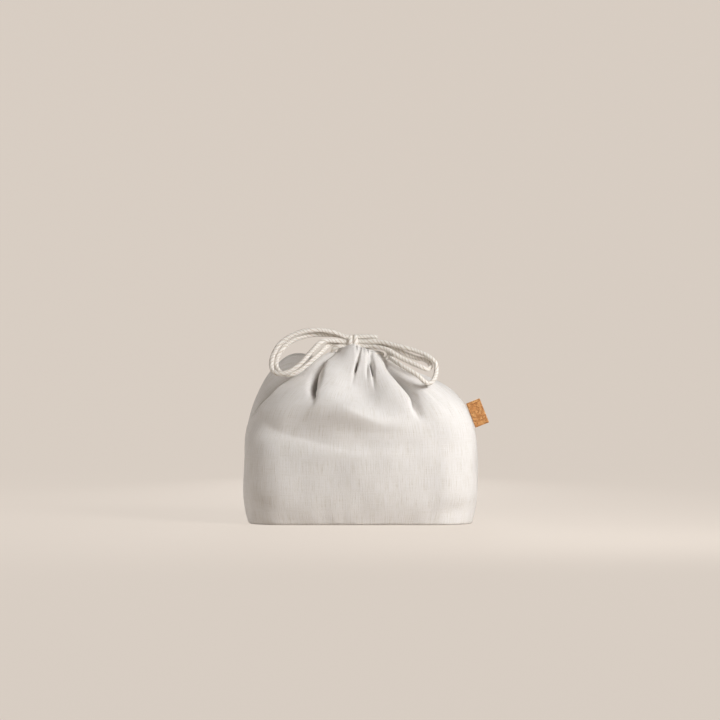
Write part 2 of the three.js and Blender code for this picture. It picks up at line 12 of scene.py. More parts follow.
import bpy
import numpy as np
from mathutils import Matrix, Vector


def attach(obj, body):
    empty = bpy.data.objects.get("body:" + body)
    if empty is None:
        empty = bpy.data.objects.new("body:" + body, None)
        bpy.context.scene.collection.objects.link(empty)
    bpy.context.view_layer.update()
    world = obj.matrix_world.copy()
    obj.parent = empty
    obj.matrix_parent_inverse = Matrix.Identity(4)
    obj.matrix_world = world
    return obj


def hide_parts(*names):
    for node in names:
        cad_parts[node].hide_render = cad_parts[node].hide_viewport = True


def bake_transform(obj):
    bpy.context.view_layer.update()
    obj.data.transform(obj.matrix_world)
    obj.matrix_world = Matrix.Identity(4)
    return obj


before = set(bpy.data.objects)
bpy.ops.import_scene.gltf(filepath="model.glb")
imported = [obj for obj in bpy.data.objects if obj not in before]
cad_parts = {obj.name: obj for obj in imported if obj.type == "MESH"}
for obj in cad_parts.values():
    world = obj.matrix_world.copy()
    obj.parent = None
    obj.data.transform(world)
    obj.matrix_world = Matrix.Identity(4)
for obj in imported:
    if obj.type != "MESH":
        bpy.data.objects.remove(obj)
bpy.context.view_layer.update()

logging.basicConfig(level=logging.INFO, format="%(name)s: %(message)s")
log = logging.getLogger("lunch_bag")

MM = 0.001
SEED = 7
LIP_DEPTH = 6 * MM  # the lip of a fold this deep hangs over in full
Array = np.ndarray
Pair = tuple[float, float]
Place = tuple[float, float, float]
Piece = bpy.types.Object
Tree = bpy.types.NodeTree
Node = bpy.types.Node
Socket = bpy.types.NodeSocket


class Body(str, Enum):
    """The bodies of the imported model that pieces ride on."""

    BAG = "bag"
    LEFT_LOOP = "left_loop"
    RIGHT_LOOP = "right_loop"
    TAIL = "tail"
    TAG = "tag"


class Slot(str, Enum):
    """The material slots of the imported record."""

    LINEN = "linen"
    BINDING = "binding"
    CORD = "cotton_cord"
    CORK = "cork"


class Panel(Enum):
    """The two cloth panels, by the girth share where each starts."""

    BACK = 0.0
    FRONT = 0.5


# Small helpers


def linear(code: str) -> tuple[float, float, float, float]:
    """Turns an sRGB hex colour into linear light.

    Args:
        code: The colour, such as "#e8e0d6".

    Returns:
        Red, green, blue and an alpha of 1.
    """
    channels = [int(code[i : i + 2], 16) / 255 for i in (1, 3, 5)]
    straight = [c / 12.92 if c <= 0.04045 else ((c + 0.055) / 1.055) ** 2.4 for c in channels]
    return (*straight, 1.0)


def feed(tree: Tree, node: Node, inputs: dict) -> None:
    """Sets and links the inputs of a node.

    Args:
        tree: The node tree that it is in.
        node: The node.
        inputs: What each input gets, by name or number: a node, for its first output, an output socket or a value.
    """
    for key, value in inputs.items():
        value = value.outputs[0] if isinstance(value, Node) else value
        if isinstance(value, Socket):
            tree.links.new(value, node.inputs[key])
        else:
            node.inputs[key].default_value = value


def add_node(tree: Tree, kind: str, inputs: dict | None = None, **settings) -> Node:
    """Adds a shader node, sets it and links it.

    Args:
        tree: The node tree of the material.
        kind: The node's type without its prefix, such as "Math".
        inputs: What each input gets.
        settings: The node's own properties.

    Returns:
        The new node.
    """
    node = tree.nodes.new("ShaderNode" + kind)
    for name, value in settings.items():
        setattr(node, name, value)
    feed(tree, node, inputs or {})
    return node


def set_ramp(node: Node, *stops: tuple[float, str]) -> None:
    """Gives a colour ramp its stops.

    Args:
        node: The ramp node.
        stops: Place and sRGB hex colour of each stop, from low to high.
    """
    elements = node.color_ramp.elements
    while len(elements) < len(stops):
        elements.new(0.5)
    for element, (place, code) in zip(elements, stops):
        element.position = place
        element.color = linear(code)


def unit(vectors: Array) -> Array:
    """Gives vectors a length of 1."""
    return vectors / np.maximum(np.linalg.norm(vectors, axis=-1, keepdims=True), 1e-12)


def smoothstep(low: float, high: float, value: Array | float) -> Array:
    """Rises from 0 at low to 1 at high with soft ends."""
    t = np.clip((np.asarray(value, float) - low) / (high - low), 0, 1)
    return t * t * (3 - 2 * t)


def around(girth: Array, middle: Array | float) -> Array:
    """How far girth shares are from a place on the girth, the shorter way round."""
    gap = girth - middle
    return gap - np.round(gap)


def soften(values: Array, passes: int = 8) -> Array:
    """Takes the kinks out of a row of values, keeping its ends.

    Args:
        values: The row.
        passes: How often each value is evened out with its neighbours.

    Returns:
        The softer row.
    """
    result = np.asarray(values, float).copy()
    for _ in range(passes):
        result[1:-1] = (result[:-2] + 2 * result[1:-1] + result[2:]) / 4
    return result


def run_lengths(points: Array) -> Array:
    """How far along a row of points each of them is."""
    return np.concatenate([[0], np.cumsum(np.linalg.norm(np.diff(points, axis=0), axis=1))])


def points_at(points: Array, along: Array, steps: Array) -> Array:
    """Reads a row of points, whose lengths along are given, at other lengths."""
    return np.stack([np.interp(steps, along, points[:, k]) for k in range(3)], -1)


def hermite(t: Array | float, start: Array, leave: Array, end: Array, arrive: Array) -> Array:
    """A curve from start to end, by the speeds at which it leaves and arrives."""
    first = (2 * t**3 - 3 * t**2 + 1) * start + (t**3 - 2 * t**2 + t) * leave
    return first + (3 * t**2 - 2 * t**3) * end + (t**3 - t**2) * arrive


def grid_faces(rows: int, columns: int, closed: bool = False) -> list[tuple[int, int, int, int]]:
    """Faces of a grid of points that is stored row by row.

    Args:
        rows: Rows of points.
        columns: Points in each row.
        closed: Whether each row joins up with its own start.

    Returns:
        Four point numbers for each face.
    """
    faces = []
    for j in range(rows - 1):
        for i in range(columns if closed else columns - 1):
            k = (i + 1) % columns
            faces.append((j * columns + i, j * columns + k, (j + 1) * columns + k, (j + 1) * columns + i))
    return faces


def make_piece(name: str, points: Array, faces: list, uv: Array | None = None) -> Piece:
    """Makes a smooth-shaded mesh object.

    Args:
        name: Name of the piece.
        points: Its points, in metres.
        faces: Point numbers of each face.
        uv: Lengths along the material for each point, in metres.

    Returns:
        The new object, linked to the scene.
    """
    mesh = bpy.data.meshes.new(name)
    mesh.from_pydata(points.reshape(-1, 3).tolist(), [], faces)
    if uv is not None:
        layer = mesh.uv_layers.new(name="flat")
        corners = np.zeros(len(mesh.loops), np.int32)
        mesh.loops.foreach_get("vertex_index", corners)
        layer.data.foreach_set("uv", uv.reshape(-1, 2)[corners].astype(np.float32).ravel())
    mesh.shade_smooth()
    piece = bpy.data.objects.new(name, mesh)
    bpy.context.scene.collection.objects.link(piece)
    return piece


def make_sheet(name: str, grid: Array, across: Array, along: Array, thickness: float) -> Piece:
    """Makes a sheet from a grid of points, with its thickness on the inner side.

    Args:
        name: Name of the piece.
        grid: Its points, row by row, in metres.
        across: Lengths along each row of the flat material, in metres.
        along: Length up to each row.
        thickness: Thickness of the sheet.

    Returns:
        The new object.
    """
    uv = np.stack(np.broadcast_arrays(across, along[:, None]), -1)
    piece = make_piece(name, grid, grid_faces(*grid.shape[:2]), uv)
    skin = piece.modifiers.new("thickness", "SOLIDIFY")
    skin.thickness = thickness
    skin.offset = -1
    return piece


def settle(piece: Piece, finish: "Finish", body: Body | None, *nodes: str) -> Piece:
    """Gives a piece its finish, its body and the CAD nodes that it stands for.

    Args:
        piece: The piece, in place.
        finish: Its finish.
        body: The body it rides on, or None, which leaves it on no body.
        nodes: The CAD nodes that it replaces.

    Returns:
        The same piece.
    """
    piece.data.materials.append(finish.material())
    if body is not None:
        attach(piece, body.value)
    if nodes:
        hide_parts(*nodes)
    log.info("%s: %d faces", piece.name, len(piece.data.polygons))
    return piece


# Finishes


class Finish:
    """A finish: a slot of the record and a material that is made once."""

    slot: Slot
    name: str

    def material(self) -> bpy.types.Material:
        """Returns the material, made the first time that it is asked for."""
        found = bpy.data.materials.get(self.name)
        if found is None:
            found = bpy.data.materials.new(self.name)
            found.use_nodes = True
            self.dress(found.node_tree, found.node_tree.nodes["Principled BSDF"])
        return found

    def dress(self, tree: Tree, shader: Node) -> None:
        """Adds the nodes of this finish to a new material.

        Args:
            tree: The node tree of the material.
            shader: Its main shader.
        """
        raise NotImplementedError


@dataclass(frozen=True)
class SlubLinen(Finish):
    """Woven linen and cotton with uneven yarns.

    Plain weave of undyed yarn. Thick and thin places in the yarn show as fine streaks along both threads, mostly
    upright, with a few beige flecks. The surface is matt with a soft bloom at grazing angles.
    """

    slot: Slot = Slot.LINEN
    name: str = "slub_linen"
    ivory: str = "#edebea"
    flax: str = "#e6e3df"
    fleck: str = "#d6d1ca"
    thread: float = 1.1  # mm from thread to thread; the real 0.55 is too fine to show, so it is drawn twice as coarse
    slub_width: float = 0.6  # mm
    slub_length: float = 15.0  # mm
    upright: float = 0.74  # share of the streaks that run upright
    mottle: float = 30.0  # mm from one paler patch to the next

    def dress(self, tree: Tree, shader: Node) -> None:
        """Adds the weave, its streaks and its bloom.

        Args:
            tree: The node tree of the material.
            shader: Its main shader.
        """
        flat = add_node(tree, "UVMap", uv_map="flat")
        slubs = []
        for across, along in ((self.slub_width, self.slub_length), (self.slub_length, self.slub_width)):
            scale = (1 / (across * MM), 1 / (along * MM), 1)
            place = add_node(tree, "VectorMath", {0: flat, 1: scale}, operation="MULTIPLY")
            noise = {"Vector": place, "Scale": 1.0, "Detail": 3.0, "Roughness": 0.6}
            slubs.append(add_node(tree, "TexNoise", noise, noise_dimensions="2D"))
        upright = add_node(tree, "Math", {0: slubs[0], 1: self.upright}, operation="MULTIPLY")
        streak = {0: slubs[1], 1: 1 - self.upright, 2: upright}
        streaks = add_node(tree, "Math", streak, operation="MULTIPLY_ADD")
        ramp = add_node(tree, "ValToRGB", {0: streaks})
        set_ramp(ramp, (0.30, self.fleck), (0.41, self.flax), (0.58, self.ivory))
        patch = {"Vector": flat, "Scale": 1 / (self.mottle * MM), "Detail": 2.0}
        patches = add_node(tree, "TexNoise", patch, noise_dimensions="2D")
        tone = add_node(tree, "MapRange", {"Value": patches, "To Min": 0.97, "To Max": 1.03})
        colour = add_node(tree, "VectorMath", {0: ramp, 1: tone}, operation="MULTIPLY")
        turn = math.tau / (self.thread * MM)
        scaled = add_node(tree, "VectorMath", {0: flat, 1: (turn, turn, 0)}, operation="MULTIPLY")
        waves = add_node(tree, "VectorMath", {0: scaled}, operation="SINE")
        threads = add_node(tree, "SeparateXYZ", {0: waves}).outputs
        weave = add_node(tree, "Math", {0: threads["X"], 1: threads["Y"]}, operation="MULTIPLY")
        fine = {"Height": weave, "Strength": 0.35, "Distance": 0.12 * MM}
        woven = add_node(tree, "Bump", fine)
        coarse = {"Height": streaks, "Strength": 0.4, "Distance": 0.45 * MM, "Normal": woven}
        bump = add_node(tree, "Bump", coarse)
        feed(tree, shader, {"Base Color": colour, "Normal": bump, "Roughness": 0.94, "Specular IOR Level": 0.2})
        feed(tree, shader, {"Sheen Weight": 0.12, "Sheen Roughness": 0.6})


@dataclass(frozen=True)
class TwillTape(Finish):
    """Plain cotton twill tape, woven with narrow slanting ribs that are painted darker in their troughs as shade."""

    slot: Slot = Slot.BINDING
    name: str = "cotton_twill_tape"
    tone: str = "#ddd5ca"
    # painted shade: the colour of the troughs of the ribs
    groove: str = "#cfc6b9"
    rib: float = 0.9  # mm; the real 0.45 is drawn twice as coarse

    def dress(self, tree: Tree, shader: Node) -> None:
        """Adds the slanting ribs, with painted shade in their troughs.

        Args:
            tree: The node tree of the material.
            shader: Its main shader.
        """
        flat = add_node(tree, "UVMap", uv_map="flat")
        turn = math.tau / (self.rib * MM)
        slant = add_node(tree, "VectorMath", {0: flat, 1: (turn, turn, 0)}, operation="DOT_PRODUCT")
        ribs = add_node(tree, "Math", {0: slant.outputs["Value"]}, operation="SINE")
        bump = add_node(tree, "Bump", {"Height": ribs, "Strength": 0.4, "Distance": 0.1 * MM})
        # painted shade: the troughs of the ribs are coloured darker
        ramp = add_node(tree, "ValToRGB", {0: ribs})
        set_ramp(ramp, (0.0, self.groove), (0.8, self.tone))
        feed(tree, shader, {"Base Color": ramp, "Normal": bump, "Roughness": 0.95, "Specular IOR Level": 0.2})


@dataclass(frozen=True)
class TwistedCotton(Finish):
    """Undyed cotton cord, laid up from three twisted yarns.

    The lay shows as slanting grooves, which are in the mesh. Fine fibres run along each yarn, and the grooves are
    painted a little darker and warmer than the crowns: painted shade in the grooves.
    """

    slot: Slot = Slot.CORD
    name: str = "twisted_cotton_cord"
    crown: str = "#faf7f2"
    flank: str = "#f3ede5"
    # painted shade: the colour of the deepest part of the grooves
    groove: str = "#d6ccbf"
    fibre: float = 0.35  # mm across a bundle of fibres
    fibre_length: float = 5.0  # mm

    def dress(self, tree: Tree, shader: Node) -> None:
        """Adds the fibres, and painted shade that makes the grooves darker.

        Args:
            tree: The node tree of the material.
            shader: Its main shader.
        """
        flat = add_node(tree, "UVMap", uv_map="flat")
        scale = (1 / (self.fibre * MM), 1 / (self.fibre_length * MM), 1)
        place = add_node(tree, "VectorMath", {0: flat, 1: scale}, operation="MULTIPLY")
        noise = {"Vector": place, "Scale": 1.0, "Detail": 2.0}
        fibres = add_node(tree, "TexNoise", noise, noise_dimensions="2D")
        # painted shade: the deeper a point lies in a groove of the lay, the darker its colour
        depth = add_node(tree, "Attribute", attribute_name="groove").outputs["Fac"]
        fibres_and_groove_shade = add_node(tree, "Math", {0: fibres, 1: 0.5, 2: depth}, operation="MULTIPLY_ADD")
        ramp = add_node(tree, "ValToRGB", {0: fibres_and_groove_shade})
        set_ramp(ramp, (0.2, self.crown), (0.7, self.flank), (1.1, self.groove))
        bump = add_node(tree, "Bump", {"Height": fibres, "Strength": 0.8, "Distance": 0.3 * MM})
        feed(tree, shader, {"Base Color": ramp, "Normal": bump, "Roughness": 0.9, "Specular IOR Level": 0.25})
        feed(tree, shader, {"Sheen Weight": 0.2, "Sheen Roughness": 0.5})


@dataclass(frozen=True)
class CorkSheet(Finish):
    """Thin cork glued to a cloth backing.

    Pressed granules of warm orange brown, each a little lighter or darker, with scattered dark bark specks.
    """

    slot: Slot = Slot.CORK
    name: str = "pressed_cork_sheet"
    tones: tuple[str, str, str] = ("#a9713f", "#c48a52", "#d6a56c")
    bark: str = "#6b4526"
    granule: float = 1.6  # mm
    speck: float = 0.9  # mm

    def dress(self, tree: Tree, shader: Node) -> None:
        """Adds the granules and the specks.

        Args:
            tree: The node tree of the material.
            shader: Its main shader.
        """
        flat = add_node(tree, "UVMap", uv_map="flat")
        cell = {"Vector": flat, "Scale": 1 / (self.granule * MM), "Randomness": 1.0}
        granules = add_node(tree, "TexVoronoi", cell, voronoi_dimensions="2D").outputs
        tones = add_node(tree, "ValToRGB", {0: granules["Color"]})
        set_ramp(tones, *zip((0.1, 0.5, 0.9), self.tones))
        noise = {"Vector": flat, "Scale": 1 / (self.speck * MM), "Detail": 2.0}
        dark = add_node(tree, "TexNoise", noise, noise_dimensions="2D")
        specks = add_node(tree, "MapRange", {"Value": dark, "From Min": 0.62, "From Max": 0.7})
        mixed = add_node(tree, "MixRGB", {"Fac": specks, "Color1": tones, "Color2": linear(self.bark)})
        relief = {"Height": granules["Distance"], "Strength": 0.5, "Distance": 0.25 * MM}
        bump = add_node(tree, "Bump", relief)
        feed(tree, shader, {"Base Color": mixed, "Normal": bump, "Roughness": 0.72, "Specular IOR Level": 0.35})


@dataclass(frozen=True)
class SewingThread(Finish):
    """Spun polyester sewing thread in ivory: fine and matt with a slight gloss."""

    slot: Slot = Slot.BINDING
    name: str = "sewing_thread"
    pale: str = "#ece6dd"
    dim: str = "#d9d0c4"
    spin: float = 0.8  # mm from one thick place to the next

    def dress(self, tree: Tree, shader: Node) -> None:
        """Adds the uneven tone of a spun thread.

        Args:
            tree: The node tree of the material.
            shader: Its main shader.
        """
        place = add_node(tree, "TexCoord").outputs["Object"]
        spun = add_node(tree, "TexNoise", {"Vector": place, "Scale": 1 / (self.spin * MM)})
        ramp = add_node(tree, "ValToRGB", {0: spun})
        set_ramp(ramp, (0.3, self.dim), (0.7, self.pale))
        feed(tree, shader, {"Base Color": ramp, "Roughness": 0.7})


# Cloth


@dataclass(frozen=True)
class Hump:
    """A rounded swell over the girth.

    Attributes:
        middle: Girth share of its middle.
        width: Half of its width, as a girth share.
        power: Power of its section: 2 is round, 4 has a flat top.
    """

    middle: float
    width: float
    power: int = 2

    def at(self, girth: Array) -> Array:
        """The swell at each girth share, 1 in the middle."""
        return np.exp(-((around(girth, self.middle) / self.width) ** self.power))


@dataclass(frozen=True)
class Fold:
    """A valley in the gathered cloth, or a ridge where its depth is negative.

    Attributes:
        line: Height share, girth share and depth in millimetres of the valley, from the hem down.
        before: How far the valley reaches towards lower girth shares, in millimetres.
        after: How far it reaches towards higher girth shares.
        overlap: How far the lip on the steeper side hangs over the valley.
        sharp: Power of the section: 1 is a crisp crease, 2 a round hollow.
    """

    line: tuple[Place, ...]
    before: float
    after: float
    overlap: float = 0.0
    sharp: float = 1.4

    def rows(self, height: Array) -> tuple[Array, Array]:
        """Follows the valley over rows of the cloth.

        Args:
            height: Height share of each row.

        Returns:
            The girth share and the depth in metres of the valley at each row.
        """
        line = np.array(self.line)[::-1]
        even = np.linspace(0, 1, 241)
        girth = soften(np.interp(even, line[:, 0], line[:, 1]))
        depth = soften(np.interp(even, line[:, 0], line[:, 2], left=0.0))
        return np.interp(height, even, girth), np.interp(height, even, depth) * MM

    def press(self, girth: Array, height: Array, stretch: Array) -> tuple[Array, Array]:
        """Works out what the fold does to the cloth.

        Args:
            girth: Girth shares, a grid with a row for each height.
            height: Height share of each row.
            stretch: Length of a whole turn at each point, in metres.

        Returns:
            How far each point sinks in, and how far it slides along the girth, in metres.
        """
        place, depth = self.rows(height)
        gap = around(girth, place[:, None]) * stretch
        far = np.abs(gap) / (np.where(gap < 0, self.before, self.after) * MM)
        steep = 1.0 if self.after < self.before else -1.0
        lip = np.where(gap * steep > 0, far * np.exp(1 - far), 0)
        slide = -steep * self.overlap * MM * lip * np.clip(depth[:, None] / LIP_DEPTH, 0, 1)
        return depth[:, None] * np.exp(-(far**self.sharp)), slide


@dataclass(frozen=True)
class Dent:
    """A soft hollow in the cloth.

    Attributes:
        girth: Girth share of its middle.
        height: Height share of its middle.
        long: Half of its length, in millimetres.
        wide: Half of its width.
        depth: How deep it is.
        turn: Angle of its length from level, in degrees, rising towards higher girth shares.
    """

    girth: float
    height: float
    long: float
    wide: float
    depth: float
    turn: float = 0.0

    def press(self, level: Array, rise: Array) -> Array:
        """Works out what the dent does to the cloth.

        Args:
            level: How far each point is from its middle along the girth, in metres.
            rise: How far each point is above its middle.

        Returns:
            How far each point sinks in, in metres.
        """
        turn = math.radians(self.turn)
        long = (level * math.cos(turn) + rise * math.sin(turn)) / (self.long * MM)
        wide = (rise * math.cos(turn) - level * math.sin(turn)) / (self.wide * MM)
        return self.depth * MM * np.exp(-(long**2) - wide**2)


FOLDS = (
    # the deep fold left of the middle, whose lip hangs over it, and the pocket under the lip
    Fold(((1.0, 0.612, 1.8), (0.975, 0.606, 2), (0.949, 0.606, 2.6), (0.91, 0.613, 5), (0.876, 0.621, 8),
          (0.814, 0.632, 10), (0.781, 0.645, 11), (0.736, 0.658, 10), (0.7, 0.664, 7), (0.665, 0.667, 3.5),
          (0.63, 0.667, 1), (0.59, 0.666, 0)), before=6.5, after=2.4, overlap=4.5),
    Fold(((0.83, 0.622, 0), (0.796, 0.633, 3), (0.751, 0.646, 5), (0.72, 0.653, 4), (0.69, 0.66, 1.5),
          (0.67, 0.664, 0)), before=4.6, after=3.2, sharp=2.5),
    # the small pleats in the middle: fine lines over the hem, dark slits under it
    Fold(((1.0, 0.727, 1.4), (0.965, 0.732, 1.4), (0.93, 0.734, 0)), before=0.9, after=0.9),
    Fold(((1.0, 0.748, 1.8), (0.96, 0.743, 2.2), (0.925, 0.739, 3), (0.91, 0.736, 7), (0.89, 0.733, 11),
          (0.87, 0.731, 8), (0.852, 0.73, 2), (0.82, 0.73, 0.8), (0.77, 0.728, 0)), before=1.3, after=1.5,
          overlap=0.8, sharp=2.6),
    Fold(((1.0, 0.764, 1.2), (0.975, 0.764, 0.8), (0.95, 0.764, 0)), before=0.8, after=0.8),
    Fold(((1.0, 0.782, 1.6), (0.967, 0.788, 1.8), (0.919, 0.777, 2.2), (0.872, 0.771, 2.4), (0.84, 0.769, 1.4),
          (0.8, 0.768, 0)), before=1.0, after=0.9),
    Fold(((1.0, 0.8, 1.8), (0.95, 0.794, 2.2), (0.92, 0.789, 3), (0.905, 0.787, 7), (0.884, 0.786, 12),
          (0.86, 0.787, 11), (0.838, 0.786, 4), (0.81, 0.784, 1.5), (0.76, 0.782, 0.5), (0.72, 0.781, 0)), before=1.2,
          after=1.6, overlap=0.8, sharp=2.6),
    # the deep fold right of the middle
    Fold(((1.0, 0.83, 1.8), (0.956, 0.849, 2.4), (0.909, 0.845, 5), (0.863, 0.836, 9), (0.813, 0.837, 12),
          (0.736, 0.839, 12), (0.688, 0.84, 10), (0.65, 0.839, 7), (0.6, 0.838, 4), (0.55, 0.838, 2),
          (0.5, 0.842, 0.8), (0.45, 0.85, 0)), before=2.6, after=9, overlap=3.8),
    Fold(((0.9, 0.85, 0), (0.86, 0.845, 5), (0.8, 0.845, 7), (0.74, 0.846, 7), (0.68, 0.845, 7), (0.63, 0.841, 7),
          (0.58, 0.84, 5), (0.54, 0.841, 2.5), (0.5, 0.844, 0)), before=2.5, after=4.5, sharp=2.2),
    # the edges of the gathers stand proud between the two deep folds
    Fold(((0.98, 0.625, 0), (0.93, 0.628, -2), (0.88, 0.64, -4.5), (0.82, 0.652, -6.5), (0.76, 0.668, -6.5),
          (0.7, 0.675, -4.5), (0.62, 0.675, -2), (0.55, 0.67, 0)), before=3, after=16, sharp=2.0),
    Fold(((0.97, 0.824, 0), (0.92, 0.822, -1.5), (0.86, 0.814, -2.5), (0.8, 0.814, -3.2), (0.72, 0.814, -3.2),
          (0.65, 0.817, -2.8), (0.58, 0.822, -1.6), (0.5, 0.83, 0)), before=11, after=8, sharp=2.0),
    # a faint crease on the right shoulder
    Fold(((0.7, 0.884, 0), (0.631, 0.89, 1.2), (0.545, 0.899, 1.2), (0.5, 0.903, 0)), before=2, after=5),
    # the ridge that swings down from the left fold to the right
    Fold(((0.79, 0.642, 0), (0.745, 0.656, -2.5), (0.68, 0.68, -6), (0.59, 0.712, -8.5), (0.54, 0.735, -8),
          (0.505, 0.755, -6), (0.465, 0.775, -3), (0.42, 0.79, 0)), before=44, after=20, sharp=1.7),
    # the slack band that swings across the front
    Fold(((0.56, 0.55, 0), (0.52, 0.57, 1.2), (0.477, 0.593, 3), (0.445, 0.612, 4.5), (0.416, 0.632, 5),
          (0.39, 0.659, 5), (0.349, 0.704, 3.8), (0.324, 0.725, 2), (0.3, 0.755, 0.5), (0.28, 0.775, 0)), before=38,
          after=72, sharp=1.3),
    # the tucks at the side seams
    Fold(((0.9, 1.0, 2), (0.83, 1.0, 4), (0.75, 1.0, 3.5), (0.66, 1.0, 2), (0.56, 1.0, 0)), before=9, after=9,
          sharp=1.7),
    Fold(((0.94, 0.48, 2), (0.85, 0.482, 8), (0.8, 0.496, 12), (0.74, 0.516, 14), (0.66, 0.53, 13), (0.58, 0.526, 7),
          (0.5, 0.515, 1.5), (0.44, 0.51, 0)), before=15, after=5, overlap=3.5, sharp=1.3),
    # the ridge in front of the left tuck
    Fold(((0.88, 0.51, 0), (0.8, 0.526, -1.5), (0.741, 0.546, -2.5), (0.663, 0.56, -2.5), (0.58, 0.553, -2),
          (0.5, 0.553, 0)), before=4, after=9, sharp=1.5),
    # the back
    Fold(((1.0, 0.15, 2.5), (0.92, 0.152, 4), (0.86, 0.156, 7), (0.78, 0.163, 8), (0.68, 0.166, 6.5),
          (0.56, 0.168, 2), (0.5, 0.17, 0)), before=12, after=3.2, overlap=2.5),
    Fold(((1.0, 0.196, 2), (0.93, 0.198, 3), (0.88, 0.202, 5), (0.82, 0.206, 3), (0.75, 0.21, 0)), before=1.4,
          after=1.4),
    Fold(((1.0, 0.226, 2), (0.92, 0.226, 3), (0.87, 0.228, 6), (0.8, 0.23, 4), (0.72, 0.231, 0)), before=1.3,
          after=2.2),
    Fold(((1.0, 0.262, 2), (0.93, 0.262, 3), (0.88, 0.262, 5), (0.8, 0.264, 3), (0.74, 0.266, 0)), before=1.8,
          after=1.3),
    Fold(((1.0, 0.318, 2.5), (0.92, 0.316, 4), (0.86, 0.313, 7), (0.78, 0.311, 8), (0.68, 0.31, 6), (0.58, 0.309, 2),
          (0.5, 0.308, 0)), before=3.2, after=13, overlap=2.5),
    Fold(((1.0, 0.375, 2), (0.92, 0.378, 4), (0.85, 0.382, 5), (0.76, 0.386, 3), (0.68, 0.388, 0)), before=4,
          after=6),
    Fold(((1.0, 0.105, 2), (0.92, 0.1, 4), (0.85, 0.096, 5), (0.76, 0.092, 3), (0.68, 0.09, 0)), before=6, after=4),
)

DENTS = (
    # the hollow under the small pleats
    Dent(0.762, 0.69, 19, 11, 3.2, -60),
    # the right front corner, rounder than the oblong of the belly
    Dent(0.888, 0.4, 40, 55, 5.5),
    # the left front shoulder, drawn in towards the knot
    Dent(0.602, 0.6, 42, 30, 7, -12),
    # the left front corner, rounder as well
    Dent(0.6, 0.34, 45, 32, 4),
    # low corners that aren't filled out
    Dent(0.9, 0.095, 19, 8, 2.8, 8),
    Dent(0.59, 0.12, 14, 7, 1.6, -10),
    # soft places on the back
    Dent(0.24, 0.42, 30, 10, 2.6, 12),
    Dent(0.33, 0.17, 22, 9, 2.2, -8),
    Dent(0.13, 0.2, 20, 9, 2.0, 10),
)


